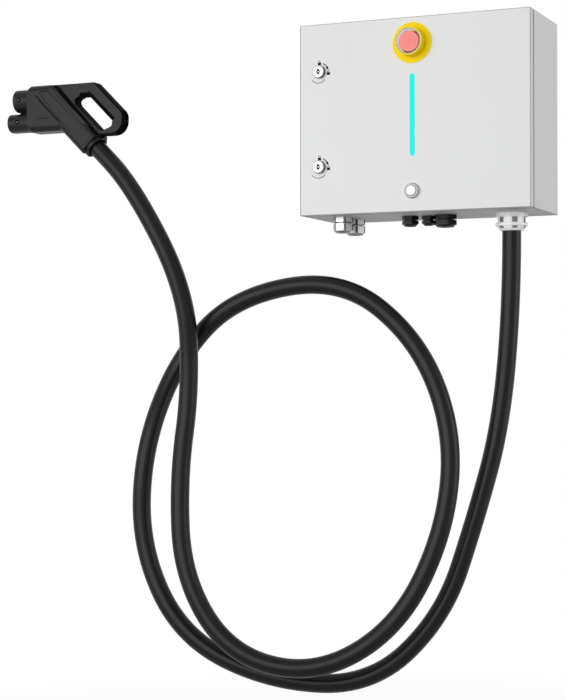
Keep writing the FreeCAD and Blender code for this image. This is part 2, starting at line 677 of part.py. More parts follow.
pocket(door, slot, "2*sheet_t")
node("door_panel", door)

# Gasket: a foam strip on the inside of the door that meets the rain lip
gasket = new_body("Gasket")
gasket_outer = rectangle(*[f"{length}+sheet_t+gasket_w" for length in OPENING])
gasket_inner = rectangle(*[f"{length}+sheet_t-gasket_w" for length in OPENING])
strip = sketch(gasket, "strip", "XZ", [gasket_outer, gasket_inner], lift=f"{LIP_FRONT}+gasket_gap")
pad(gasket, strip, f"{SHEET_BACK}-{LIP_FRONT}-gasket_gap")
soften(gasket, "gasket_round", lambda edge: along(edge, Y_AXIS))
node("door_gasket", gasket)

# Hinges: a cranked arm on the body, a leaf in the door and a headed pin through both


def hinge_arm(name, height):
    """The body's half: knuckle, a crank that clears the turning door edge, and a foot on the rim."""
    arm = new_body(name)
    back = f"{PIN_AHEAD}-{BODY_FRONT}"
    crank = [("0", "-arm_drop"), ("0", "-arm_drop-arm_t"), ("-arm_reach", "-arm_drop-arm_t"),
             ("-arm_reach", f"{back}-arm_t"), ("-arm_reach-arm_foot", f"{back}-arm_t"),
             ("-arm_reach-arm_foot", back), ("arm_t-arm_reach", back), ("arm_t-arm_reach", "-arm_drop")]
    pad(arm, sketch(arm, "crank", "XY", [crank], lift="-arm_tall/2"), "arm_tall")
    pad(arm, sketch(arm, "knuckle", "XY", circles=[("0", "0", "knuckle_dia")], lift="-arm_tall/2"), "arm_tall")
    bore = sketch(arm, "bore", "XY", circles=[("0", "0", "pin_dia+2*pin_fit")], lift="arm_tall/2")
    pocket(arm, bore, "arm_tall")
    return place(arm, PIN_X, PIN_AHEAD, height)


def hinge_leaf(name, height):
    """The door's half: a plate with two knuckles and a window for the arm."""
    leaf = new_body(name)
    plate = [("hinge_inset-sheet_t-arm_t", "-leaf_half"), ("hinge_inset-sheet_t", "-leaf_half"),
             ("hinge_inset-sheet_t", "leaf_half"), ("hinge_inset-sheet_t-arm_t", "leaf_half")]
    pad(leaf, sketch(leaf, "plate", "XY", [plate], lift="-leaf_tall/2"), "leaf_tall")
    ring = [("0", "0", "knuckle_dia")]
    pad(leaf, sketch(leaf, "knuckles", "XY", circles=ring, lift="-leaf_tall/2"), "leaf_tall")
    window = rectangle("2*leaf_bridge", "arm_tall+2*knuckle_gap")
    pocket(leaf, sketch(leaf, "window", "YZ", [window], lift="knuckle_dia"), "2*knuckle_dia")
    bore = sketch(leaf, "bore", "XY", circles=[("0", "0", "pin_dia+2*pin_fit")], lift="leaf_tall/2")
    pocket(leaf, bore, "leaf_tall")
    return place(leaf, PIN_X, PIN_AHEAD, height)


def hinge_pin(name, height):
    """A headed pin, dropped in from above."""
    top = "leaf_tall/2"
    section = [("0", f"-{top}"), ("pin_dia/2", f"-{top}"), ("pin_dia/2", top), ("pin_head_dia/2", top),
               ("pin_head_dia/2", f"{top}+pin_head"), ("0", f"{top}+pin_head")]
    pin = turned_up(name, section)
    return place(pin, PIN_X, PIN_AHEAD, height)


pins = []
for label, height in (("upper", HINGE_Z), ("lower", f"-{HINGE_Z}")):
    node(f"hinge_arm_{label}", hinge_arm(f"Arm_{label}", height))
    node(f"hinge_leaf_{label}", hinge_leaf(f"Leaf_{label}", height))
    pins.append(hinge_pin(f"Pin_{label}", height))
node("hinge_pins", together("Pins", *pins))

# Locks: a bezel with a threaded barrel, a turning core with a key recess, a nut and a cam
CAM_FRONT = f"({BODY_FRONT}-sheet_t-cam_gap)"
CAM_BACK = f"({CAM_FRONT}-cam_t)"
LOCK_FACE = "(box_deep+lock_proud)"
CORE_FACE = f"({LOCK_FACE}-core_sunk)"
CORE_SHOULDER = f"({CORE_FACE}-core_face_t)"
locknuts = []
for label, level in (("upper", LOCK_Z), ("lower", f"-{LOCK_Z}")):
    bore, wide_bore = "core_dia/2+lock_fit", "core_face_dia/2+lock_fit"
    bezel = [(bore, f"{CAM_FRONT}+turn_gap"), ("lock_barrel_dia/2", f"{CAM_FRONT}+turn_gap"),
             ("lock_barrel_dia/2", "box_deep"), ("lock_base_dia/2", "box_deep"),
             ("lock_base_dia/2", "box_deep+lock_foot"), ("lock_face_dia/2+lock_edge", f"{LOCK_FACE}-lock_edge"),
             ("lock_face_dia/2", LOCK_FACE), (wide_bore, LOCK_FACE),
             (wide_bore, CORE_SHOULDER), (bore, CORE_SHOULDER)]
    node(f"lock_housing_{label}", turned_ahead(f"Bezel_{label}", bezel, LOCK_X, level))
    core = new_body(f"Core_{label}")
    shoulder, shank_end = f"{CORE_SHOULDER}+turn_gap", CAM_BACK
    section = [("0", f"{shank_end}-cam_head"), ("cam_head_dia/2", f"{shank_end}-cam_head"),
               ("cam_head_dia/2", shank_end), ("core_dia/2", shank_end), ("core_dia/2", shoulder),
               ("core_face_dia/2", shoulder), ("core_face_dia/2", CORE_FACE), ("0", CORE_FACE)]
    flipped = [(radius, f"-({ahead})") for radius, ahead in section]
    spin(core, sketch(core, "section", "XY", [flipped]))
    recess = sketch(core, "key_recess", "XZ", [rectangle("key_w", "key_tall-key_w")], lift=CORE_FACE)
    pocket(core, recess, "key_deep")
    for side in (-1, 1):
        end = [("0", f"{side}*(key_tall-key_w)/2", "key_w")]
        pocket(core, sketch(core, "key_end", "XZ", circles=end, lift=CORE_FACE), "key_deep")
    key_pin = sketch(core, "key_pin", "XZ", circles=[("0", "0", "key_pin_dia")], lift=f"{CORE_FACE}-key_deep")
    pad(core, key_pin, "key_deep-key_pin_sunk")
    node(f"lock_core_{label}", place(core, LOCK_X, "0", level))
    cam = new_body(f"Cam_{label}")
    blade = rectangle("cam_w", "cam_long", "0", "-cam_long/2")
    pad(cam, sketch(cam, "blade", "XZ", [blade], lift=CAM_BACK), "cam_t")
    soften(cam, "cam_round", lambda edge: along(edge, Y_AXIS) and edge.BoundBox.ZMax < -1)
    hub = sketch(cam, "hub", "XZ", circles=[("0", "0", "cam_hub_dia")], lift=CAM_BACK)
    pad(cam, hub, "cam_t")
    eye = sketch(cam, "eye", "XZ", circles=[("0", "0", "core_dia")], lift=f"{CAM_BACK}+cam_t")
    pocket(cam, eye, "cam_t")
    node(f"lock_cam_{label}", place(cam, LOCK_X, "0", level))
    locknut = new_body(f"Locknut_{label}")
    upright_hexagon = [(up, across) for across, up in hexagon("lock_nut_flats")]
    ring = sketch(locknut, "ring", "XZ", [upright_hexagon],
                  [("0", "0", "lock_barrel_dia")], lift=f"{SHEET_BACK}-lock_nut_t")
    pad(locknut, ring, "lock_nut_t")
    locknuts.append(place(locknut, LOCK_X, "0", level))
node("lock_nuts", together("Locknuts", *locknuts))

# Devices on the door: ring nuts behind the sheet and contact blocks behind the barrels
DEVICE_BACK = "(box_deep-device_back)"


def ring_nut(name, level):
    """A round nut with six grooves, tight behind the door sheet."""
    nut = new_body(name)
    ring = sketch(nut, "ring", "XZ", circles=[("0", "0", "device_nut_dia"), ("0", "0", "device_dia")],
                  lift=f"{SHEET_BACK}-device_nut_t")
    pad(nut, ring, "device_nut_t")
    groove = sketch(nut, "groove", "XZ", circles=[("device_nut_dia/2", "0", "nut_groove_dia")], lift=SHEET_BACK)
    around(nut, pocket(nut, groove, "device_nut_t"), 6)
    return place(nut, "0", "0", level)


def contact_block(name, level):
    """The switch block that clips to the end of a device's barrel, with two screw wells a side."""
    case = new_body(name)
    pad(case, sketch(case, "case", "XZ", [rectangle("contact_w", "contact_tall")],
                     lift=f"{DEVICE_BACK}-contact_deep"), "contact_deep")
    soften(case, "contact_round", lambda edge: along(edge, Y_AXIS))
    wells = [(f"{side}*(contact_w/2-well_edge)", f"{end}*(contact_tall/2-well_edge)", "well_dia")
             for side, end in corners]
    pocket(case, sketch(case, "wells", "XZ", circles=wells, lift=DEVICE_BACK), "well_deep")
    return place(case, "0", "0", level)


# Emergency stop
DISC_FRONT = "(box_deep+disc_t)"
disc = new_body("Disc")
pad(disc, sketch(disc, "disc", "XZ", circles=[("0", "0", "plate_disc_dia"), ("0", "0", "panel_hole_dia")],
                 lift="box_deep"), "disc_t")
node("estop_legend_plate", place(disc, "0", "0", STOP_Z))
COLLAR_FLOOR = f"({DISC_FRONT}+collar_wall)"
FLANGE_FRONT = f"({COLLAR_FLOOR}+stop_flange_t)"
COLLAR_FRONT, TRIM_FRONT = "(box_deep+collar_proud)", "(box_deep+trim_proud)"
outer, inner = "collar_dia/2", "(collar_dia/2-collar_wall)"
collar = [("panel_hole_dia/2", DISC_FRONT), (f"{outer}-collar_foot", DISC_FRONT),
          (outer, f"{DISC_FRONT}+collar_foot"), (outer, f"{COLLAR_FRONT}-collar_edge"),
          (f"{outer}-collar_edge", COLLAR_FRONT), (inner, COLLAR_FRONT),
          (inner, COLLAR_FLOOR), ("panel_hole_dia/2", COLLAR_FLOOR)]
node("estop_collar", turned_ahead("Collar", collar, "0", STOP_Z))
trim = [(f"{inner}-trim_wall", COLLAR_FLOOR), (inner, COLLAR_FLOOR),
        (inner, f"{TRIM_FRONT}-collar_edge"), (f"{inner}-collar_edge", TRIM_FRONT),
        (f"{inner}-trim_wall+collar_edge", TRIM_FRONT), (f"{inner}-trim_wall", f"{TRIM_FRONT}-collar_edge")]
node("estop_trim_ring", turned_ahead("Trim", trim, "0", STOP_Z))
barrel = [("stop_bore_dia/2", DEVICE_BACK), ("device_dia/2", DEVICE_BACK), ("device_dia/2", COLLAR_FLOOR),
          ("stop_flange_dia/2", COLLAR_FLOOR), ("stop_flange_dia/2", FLANGE_FRONT),
          ("stop_bore_dia/2", FLANGE_FRONT)]
node("estop_body", turned_ahead("StopBarrel", barrel, "0", STOP_Z))
HEAD_FRONT = "(box_deep+head_proud)"
HEAD_BACK = f"({HEAD_FRONT}-head_t)"
STEM_FRONT = f"({HEAD_FRONT}-head_cover-turn_gap)"
plunger = [("0", f"{DEVICE_BACK}+plunger_end"), ("plunger_dia/2", f"{DEVICE_BACK}+plunger_end"),
           ("plunger_dia/2", HEAD_BACK), ("stem_dia/2", HEAD_BACK),
           ("stem_dia/2", STEM_FRONT), ("0", STEM_FRONT)]
node("estop_plunger", turned_ahead("Plunger", plunger, "0", STOP_Z))
head_start, stem_hole = f"{HEAD_BACK}+turn_gap", "stem_dia/2+stem_fit"
head = [("0", f"{HEAD_FRONT}-head_cover"), (stem_hole, f"{HEAD_FRONT}-head_cover"), (stem_hole, head_start),
        ("head_dia/2-head_skirt", head_start), ("head_dia/2", f"{head_start}+head_skirt"),
        ("head_dia/2", f"{HEAD_FRONT}-head_edge"), ("head_dia/2-head_edge", HEAD_FRONT),
        ("head_dia/4", f"{HEAD_FRONT}+0.7*head_crown"), ("0", f"{HEAD_FRONT}+head_crown")]
node("estop_head", turned_ahead("Head", head, "0", STOP_Z))
node("estop_nut", ring_nut("StopNut", STOP_Z))
node("estop_contact_block", contact_block("StopContacts", STOP_Z))

# Push button
BEZEL_FACE = "(box_deep+bezel_proud)"
CAP_BACK = "(box_deep+cap_proud-cap_t)"
CAP_RIM = "(box_deep+cap_proud)"
stem_bore, cap_bore = "cap_stem_dia/2+cap_fit", "cap_dia/2+cap_fit"
bezel = [(stem_bore, DEVICE_BACK), ("device_dia/2", DEVICE_BACK), ("device_dia/2", "box_deep"),
         ("bezel_base_dia/2", "box_deep"), ("bezel_base_dia/2", "box_deep+bezel_foot"),
         ("bezel_face_dia/2+bezel_edge", f"{BEZEL_FACE}-bezel_edge"), ("bezel_face_dia/2", BEZEL_FACE),
         (cap_bore, BEZEL_FACE), (cap_bore, "box_deep+bezel_floor"), (stem_bore, "box_deep+bezel_floor")]
node("button_bezel", turned_ahead("ButtonBezel", bezel, "0", BUTTON_Z))
cap = [("0", f"{DEVICE_BACK}+cap_stem_end"), ("cap_stem_dia/2", f"{DEVICE_BACK}+cap_stem_end"),
       ("cap_stem_dia/2", CAP_BACK), ("cap_dia/2", CAP_BACK), ("cap_dia/2", f"{CAP_RIM}-cap_edge"),
       ("cap_dia/2-cap_edge", CAP_RIM), ("cap_dia/4", f"{CAP_RIM}+0.7*cap_crown"),
       ("0", f"{CAP_RIM}+cap_crown")]
node("button_cap", turned_ahead("ButtonCap", cap, "0", BUTTON_Z))
node("button_nut", ring_nut("ButtonNut", BUTTON_Z))
node("button_contact_block", contact_block("ButtonContacts", BUTTON_Z))

# Light bar: a flanged lens through the door, its circuit board and a case behind them


def stadium(body, wide, long, rear, deep):
    """Add a round-ended bar to a body, ahead of a rear face."""
    ends = [("0", f"light_z+{side}*(({long})-({wide}))/2", wide) for side in (-1, 1)]
    middle = rectangle(wide, f"({long})-({wide})", "0", "light_z")
    pad(body, sketch(body, "middle", "XZ", [middle], lift=rear), deep)
    for end in ends:
        pad(body, sketch(body, "end", "XZ", circles=[end], lift=rear), deep)


LIGHT_CASE = f"({SHEET_BACK}-light_rim_t-light_case_deep)"
LAMPS = 12
lens = new_body("Lens")
stadium(lens, "light_w+2*light_rim", "light_long+2*light_rim", f"{SHEET_BACK}-light_rim_t", "light_rim_t")
stadium(lens, "light_w", "light_long", f"{SHEET_BACK}-light_rim_t", "light_rim_t+sheet_t+light_proud")
node("light_bar_lens", lens)
case = new_body("LightCase")
stadium(case, "light_w+2*light_rim", "light_long+2*light_rim", LIGHT_CASE, "light_case_deep")
inner = [rectangle("light_w", straight, "0", "light_z")]
room = sketch(case, "room", "XZ", inner, lift=f"{LIGHT_CASE}+light_case_deep")
pocket(case, room, "light_case_deep-light_case_t")
node("light_bar_housing", case)
board = new_body("LightBoard")
pcb = rectangle("light_w-2*light_board_fit", f"{straight}-2*light_board_fit", "0", "light_z")
pad(board, sketch(board, "board", "XZ", [pcb], lift=f"{LIGHT_CASE}+light_case_t"), "light_board_t")
lamp = rectangle("lamp_w", "lamp_tall", "0", f"light_z-({straight})/2+lamp_edge")
lamp_seat = f"{LIGHT_CASE}+light_case_t+light_board_t"
lamps = pad(board, sketch(board, "lamp", "XZ", [lamp], lift=lamp_seat), "lamp_t")
row = board.newObject("PartDesign::LinearPattern", "LampRow")
row.Originals = [lamps]
row.Direction = (lamps.Profile[0], ["V_Axis"])
row.setExpression("Length", bound(f"{straight}-2*lamp_edge"))
row.Occurrences = LAMPS
board.Tip = row
node("light_bar_board", board)

# Cable glands: a body below the floor with its thread through it, a cap nut and a locknut inside


def gland(name, across, ahead, kind):
    """The body, cap, locknut and rubber seal of one open gland."""
    flats, hang, bore, hexagon_t = [f"{kind}_{word}" for word in ("flats", "hang", "bore", "body")]
    thread = f"({kind}_thread)/2"
    waist = f"({FLOOR}-{hexagon_t}-neck_t)"
    end = f"({FLOOR}-{hang})"
    hole, pocket_r, root = f"{thread}-bore_wall", f"({thread}-seal_wall)", f"{thread}-thread_root"
    section = [(hole, f"{FLOOR_IN}+thread_rise"), (thread, f"{FLOOR_IN}+thread_rise"), (thread, FLOOR),
               (f"{flats}/2", FLOOR), (f"{flats}/2", f"{FLOOR}-{hexagon_t}"), (root, f"{FLOOR}-{hexagon_t}"),
               (root, waist), (pocket_r, waist), (pocket_r, f"{waist}+seal_sunk"), (hole, f"{waist}+seal_sunk")]
    shank = turned_up(f"{name}_shank", section, across, ahead)
    outside = sketch(shank, "hexagon", "XY", [hexagon(flats)], [("0", "0", f"2*{thread}")],
                     lift=f"{FLOOR}-{hexagon_t}")
    pad(shank, outside, hexagon_t)
    mouth = f"{bore}/2+cap_lip"
    section = [(mouth, end), (f"{flats}/2-dome_w", end), (f"{flats}/2", f"{end}+dome_t"), (f"{flats}/2", waist),
               (pocket_r, waist), (pocket_r, f"{end}+cap_floor"), (mouth, f"{end}+cap_floor")]
    cap_nut = turned_up(f"{name}_cap", section, across, ahead)
    outside = sketch(cap_nut, "hexagon", "XY", [hexagon(flats)], [("0", "0", f"2*{thread}")],
                     lift=f"{end}+dome_t")
    pad(cap_nut, outside, f"{waist}-{end}-dome_t-cap_step")
    lock = new_body(f"{name}_locknut")
    pad(lock, sketch(lock, "ring", "XY", [hexagon(f"2*{thread}+locknut_rim")], [("0", "0", f"2*{thread}")],
                     lift=FLOOR_IN), "locknut_t")
    place(lock, across, ahead)
    low, high = f"{end}+cap_floor+2*seal_fit", f"{waist}-2*seal_fit"
    rubber_r = f"{pocket_r}-seal_fit"
    section = [(f"{bore}/2", low), (rubber_r, low), (rubber_r, high), (f"{bore}/2", high)]
    return shank, cap_nut, lock, turned_up(f"{name}_seal", section, across, ahead)


families = {
    "metal_gland": [gland(f"Nickel_{where}", NICKEL_X, f"nickel_{where}", "nickel")
                    for where in ("front", "rear")],
    "black_gland": [gland(f"Black_{kind}", f"black_{kind}_x", f"black_{kind}_y", f"black_{kind}")
                    for kind in ("small", "mid", "large")],
}
seals = []
for family, sets in families.items():
    bodies, caps, nuts, rubbers = zip(*sets)
    node(f"{family}_bodies", together(f"{family}_Bodies", *bodies))
    node(f"{family}_caps", together(f"{family}_Caps", *caps))
    node(f"{family}_locknuts", together(f"{family}_Locknuts", *nuts))
    seals.extend(rubbers)

# Output gland: flange and grooved body, collared nut, locknut, and its own seal round the cable
FLUTES = 6
BASE_LOW = f"({FLOOR}-gland_flange_t-gland_body_t)"
MOUTH = f"({BASE_LOW}-gland_cap_t)"
COLLAR_LOW = f"({BASE_LOW}-gland_collar_t)"
bore = "cable_dia/2+cable_fit"
seal_bore = "(cable_dia/2+gland_seal)"
flange_r, collar_r, nut_r = "gland_flange_dia/2", "gland_collar_dia/2", "gland_cap_dia/2"
FLANGE_LOW = f"({FLOOR}-gland_flange_t)"
base = turned_up("OutBody", [
    (bore, f"{FLOOR}+gland_thread"), ("gland_thread_dia/2", f"{FLOOR}+gland_thread"),
    ("gland_thread_dia/2", FLOOR), (f"{flange_r}-gland_edge", FLOOR), (flange_r, f"{FLOOR}-gland_edge"),
    (flange_r, FLANGE_LOW), ("gland_body_dia/2", FLANGE_LOW), ("gland_body_dia/2", BASE_LOW), (bore, BASE_LOW)],
    GLAND_X, "gland_y")
groove = rectangle("2*gland_flute", "gland_flute_w", "gland_body_dia/2", "0")
low_groove = sketch(base, "groove", "XY", [groove], lift=FLANGE_LOW)
around(base, pocket(base, low_groove, "gland_body_t"), FLUTES)
node("dc_gland_body", base)
nut = turned_up("OutNut", [
    (seal_bore, BASE_LOW), (f"{collar_r}-gland_edge", BASE_LOW), (collar_r, f"{BASE_LOW}-gland_edge"),
    (collar_r, f"{COLLAR_LOW}+gland_edge"), (f"{collar_r}-gland_edge", COLLAR_LOW),
    (nut_r, COLLAR_LOW), (nut_r, f"{MOUTH}+gland_slope"), (f"{nut_r}-gland_taper", MOUTH), (bore, MOUTH),
    (bore, f"{MOUTH}+gland_floor"), (seal_bore, f"{MOUTH}+gland_floor")], GLAND_X, "gland_y")
cap_groove = rectangle("2*gland_flute", "gland_flute_w", nut_r, "0")
low_groove = sketch(nut, "groove", "XY", [cap_groove], lift=COLLAR_LOW)
around(nut, pocket(nut, low_groove, "gland_cap_t-gland_collar_t-gland_slope/2"), FLUTES)
node("dc_gland_cap", nut)
seal_low, seal_high = f"{MOUTH}+gland_floor+2*seal_fit", f"{BASE_LOW}-2*seal_fit"
seals.append(turned_up("OutSeal", [(bore, seal_high), (f"{seal_bore}-seal_fit", seal_high),
                                   (f"{seal_bore}-seal_fit", seal_low), (bore, seal_low)], GLAND_X, "gland_y"))
outnut = new_body("OutLocknut")
pad(outnut, sketch(outnut, "ring", "XY", [hexagon("gland_nut_flats")], [("0", "0", "gland_thread_dia")],
                   lift=FLOOR_IN), "gland_nut_t")
node("dc_gland_locknut", place(outnut, GLAND_X, "gland_y"))
node("gland_seals", together("Seals", *seals))

# The cable's sheath inside the gland, up to where its cores part
TAIL_TOP = f"({FLOOR}+tail_rise)"
tail = upright("Tail", "cable_dia", f"{TAIL_TOP}-{MOUTH}", GLAND_X, "gland_y", MOUTH)
node("dc_cable_tail", tail)

# Output cable: straight runs joined by tangent arcs, from the gland's mouth to the connector's core
CABLE_POINTS = [
    (178.5, -95, -237.5),
    (178.5, -95, -380),
    (155, -95, -635),
    (110, -130, -830),
    (55, -170, -1025),
    (-85, -215, -1170),
    (-295, -255, -1165),
    (-480, -290, -1080),
    (-580, -285, -900),
    (-575, -285, -690),
    (-535, -200, -495),
    (-395, -205, -365),
    (-160, -190, -330),
    (5, -180, -460),
    (85, -190, -650),
    (75, -220, -850),
    (-10, -260, -1040),
    (-170, -305, -1140),
    (-350, -330, -1105),
    (-455, -340, -950),
    (-475, -315, -745),
    (-455, -300, -560),
    (-495, -240, -355),
    (-631.2, -226, -123.8),
    (-741.2, -226, -13.8),
]
ARC_SHARE = 0.45


def cable_path(points):
    """Runs and tangent arcs through the points, with the radius of each arc."""
    spots = [FreeCAD.Vector(*point) for point in points]
    edges, radii, start = [], [], spots[0]
    for before, corner, after in zip(spots, spots[1:], spots[2:]):
        into, out = (corner - before), (after - corner)
        half_turn = into.getAngle(out) / 2
        reach = ARC_SHARE * min(into.Length, out.Length)
        radii.append(reach / math.tan(half_turn))
        first = corner - into.normalize() * reach
        last = corner + out.normalize() * reach
        bisector = (last + first) * 0.5 - corner
        to_centre = radii[-1] / math.cos(half_turn)
        middle = corner + bisector.normalize() * (to_centre - radii[-1])
        edges += [Part.LineSegment(start, first).toShape(), Part.Arc(first, middle, last).toShape()]
        start = last
    edges.append(Part.LineSegment(start, spots[-1]).toShape())
    return Part.Wire(edges), radii


path, radii = cable_path(CABLE_POINTS)
ring = Part.Circle(FreeCAD.Vector(*CABLE_POINTS[0]), Z_AXIS, size("cable_dia") / 2).toShape()
tube = path.makePipeShell([Part.Wire([ring])], True, False)
cable = doc.addObject("Part::Feature", "Cable")
cable.Shape = tube
node("dc_cable", cable)
section_volume = math.pi * (size("cable_dia") / 2) ** 2 * path.Length
print("cable length", round(path.Length, 1), "volume ratio", round(tube.Volume / section_volume, 5))
print("cable radii", [round(radius) for radius in radii])

# The two power leads inside: from the sheath's end to a lug on their terminals
LEAD_AHEAD = "(post_front+bar_t/2)"
LEAD_RISE = 55
LUG_RUN = 32


def inner_lead(name, start_x, stop_x, stop_z, swing=()):
    """A round lead with its crimped lug, through a point between its ends where it swings aside."""
    lug_low = f"({stop_z}-lug_down-lug_long)"
    low, gland_y, lead_y = size(TAIL_TOP), -size("gland_y"), -size(LEAD_AHEAD)
    points = [(size(start_x), gland_y, low), (size(start_x), gland_y, low + LEAD_RISE), *swing,
              (size(stop_x), lead_y, size(lug_low) - LUG_RUN), (size(stop_x), lead_y, size(lug_low))]
    path = cable_path(points)[0]
    ring = Part.Circle(FreeCAD.Vector(*points[0]), Z_AXIS, size("lead_dia") / 2).toShape()
    tube = doc.addObject("Part::Feature", name + "_tube")
    tube.Shape = path.makePipeShell([Part.Wire([ring])], True, False)
    barrel = upright(name + "_barrel", "lug_dia", "lug_long", stop_x, LEAD_AHEAD, lug_low)
    flat_tall = "(lug_down+bar_w/2)"
    flat = block(name + "_flat", "bar_w", "bar_t", flat_tall, stop_x, "post_front",
                 f"{stop_z}-lug_down+{flat_tall}/2")
    return fused(name, tube, barrel, flat)


FUSE_LOW = "(line_z-fuse_span)"
RELAY_LEFT, RELAY_RIGHT = "(relay_x-relay_post_pitch/2)", "(relay_x+relay_post_pitch/2)"
half_way = (size(f"({GLAND_X}+{RELAY_RIGHT})/2"), -size("post_front"), -80)
positive = inner_lead("LeadPositive", f"({GLAND_X}+lead_apart/2)", "fuse_x", FUSE_LOW)
negative = inner_lead("LeadNegative", f"({GLAND_X}-lead_apart/2)", RELAY_RIGHT, "return_z", [half_way])
node("dc_leads", together("Leads", positive, negative))

# Mounting plate on the welded studs, with pressed-in standoffs for the control board
plate = new_body("Plate")
half_w, half_tall = "(box_w/2-stud_edge+plate_edge)", "(box_tall/2-stud_edge+plate_edge)"
cropped = [(f"{half_w}-plate_corner", f"-{half_tall}"), (half_w, f"plate_corner-{half_tall}"),
           (half_w, f"{half_tall}-plate_corner"), (f"{half_w}-plate_corner", half_tall),
           (f"plate_corner-{half_w}", half_tall), (f"-{half_w}", f"{half_tall}-plate_corner"),
           (f"-{half_w}", f"plate_corner-{half_tall}"), (f"plate_corner-{half_w}", f"-{half_tall}")]
pad(plate, sketch(plate, "outline", "XZ", [cropped], lift="stud_foot"), "plate_t")
clear_holes = [(*spot, "stud_dia+2*stud_fit") for spot in studs]
pocket(plate, sketch(plate, "stud_holes", "XZ", circles=clear_holes, lift=PLATE_FRONT), "plate_t")
legs = [(f"board_x+{side}*(board_w/2-board_edge)", f"board_z+{level}*(board_tall/2-board_edge)",
         "board_foot_dia") for side, level in corners]
pad(plate, sketch(plate, "standoffs", "XZ", circles=legs, lift=PLATE_FRONT), "board_foot")
node("mounting_plate", plate)

# Converter: a potted base on feet, with fins and two terminal posts
FINS = 11
converter = new_body("Converter")
box = rectangle("conv_w", "conv_tall", "conv_x", "conv_z")
pad(converter, sketch(converter, "base", "XZ", [box], lift=PLATE_FRONT), "conv_base")
soften(converter, "conv_round", lambda edge: along(edge, Y_AXIS))
feet_box = rectangle("conv_w+2*conv_foot", "conv_tall-2*conv_foot_end", "conv_x", "conv_z")
pad(converter, sketch(converter, "feet", "XZ", [feet_box], lift=PLATE_FRONT), "conv_foot_t")
fin = rectangle("conv_fin_t", "conv_tall-2*conv_fin_end", "conv_x-conv_w/2+conv_fin_t", "conv_z")
first_fin = pad(converter, sketch(converter, "fin", "XZ", [fin], lift=f"{PLATE_FRONT}+conv_base"), "conv_fin")
fins = converter.newObject("PartDesign::LinearPattern", "Fins")
fins.Originals = [first_fin]
fins.Direction = (first_fin.Profile[0], ["H_Axis"])
fins.setExpression("Length", bound("conv_w-conv_strip-2*conv_fin_t"))
fins.Occurrences = FINS
converter.Tip = fins
CONV_POST_X = "(conv_x+conv_w/2-conv_strip/2)"
conv_posts = [(CONV_POST_X, level, "post_dia") for level in ("line_z", "return_z")]
pad(converter, sketch(converter, "posts", "XZ", circles=conv_posts, lift=f"{PLATE_FRONT}+conv_base"),
    f"post_front-{PLATE_FRONT}-conv_base")
node("dc_converter", converter)

# Contactors, one in each side of the output, with flanged feet and two terminal posts each
relays = []
for label, level in (("line", "line_z"), ("return", "return_z")):
    relay = new_body(f"Contactor_{label}")
    pad(relay, sketch(relay, "case", "XZ", [rectangle("relay_w", "relay_tall")], lift=PLATE_FRONT), "relay_deep")
    soften(relay, "relay_round", lambda edge: along(edge, Y_AXIS))
    foot = rectangle("relay_w+2*relay_foot", "relay_foot_tall")
    pad(relay, sketch(relay, "foot", "XZ", [foot], lift=PLATE_FRONT), "conv_foot_t")
    wall = rectangle("barrier_t", "relay_tall-2*relay_round")
    top = f"({PLATE_FRONT}+relay_deep)"
    pad(relay, sketch(relay, "barrier", "XZ", [wall], lift=top), f"post_front-{top}+barrier_rise")
    relay_posts = [(f"{side}*relay_post_pitch/2", "0", "post_dia") for side in (-1, 1)]
    pad(relay, sketch(relay, "posts", "XZ", circles=relay_posts, lift=top), f"post_front-{top}")
    relays.append(place(relay, "relay_x", "0", level))
node("dc_contactors", together("Contactors", *relays))

# Fuse: a base with two posts, and the fuse itself with a flat tab at each end
FUSE_Z = "(line_z-fuse_span/2)"
fuse_base = block("FuseBase", "fuse_base_w", "fuse_base_deep", "fuse_span+2*fuse_base_edge",
                  "fuse_x", PLATE_FRONT, FUSE_Z)
base_front = f"{PLATE_FRONT}+fuse_base_deep"
fuse_posts = [post(f"FusePost{side}", "post_dia", f"post_front-({base_front})", "fuse_x", base_front,
                   f"{FUSE_Z}+{side}*fuse_span/2") for side in (-1, 1)]
TAB_BACK = "(post_front+bar_t)"
barrel = upright("FuseBarrel", "fuse_dia", "fuse_long", "fuse_x", f"{TAB_BACK}+bar_t/2",
                 f"{FUSE_Z}-fuse_long/2")
tab = block("FuseTab", "bar_w", "bar_t", "fuse_span+bar_w", "fuse_x", TAB_BACK, FUSE_Z)
node("dc_fuse", together("Fuse", fused("FuseSeat", fuse_base, *fuse_posts), fused("FuseLink", barrel, tab)))

# Copper bars between the converter, the contactors and the fuse
spans = [("BarLine", CONV_POST_X, RELAY_LEFT, "line_z"), ("BarReturn", CONV_POST_X, RELAY_LEFT, "return_z"),
         ("BarFuse", RELAY_RIGHT, "fuse_x", "line_z")]
bars = [block(name, f"{right}-{left}+bar_w", "bar_t", "bar_w", f"({left}+{right})/2", "post_front", level)
        for name, left, right, level in spans]
node("busbars", together("Busbars", *bars))

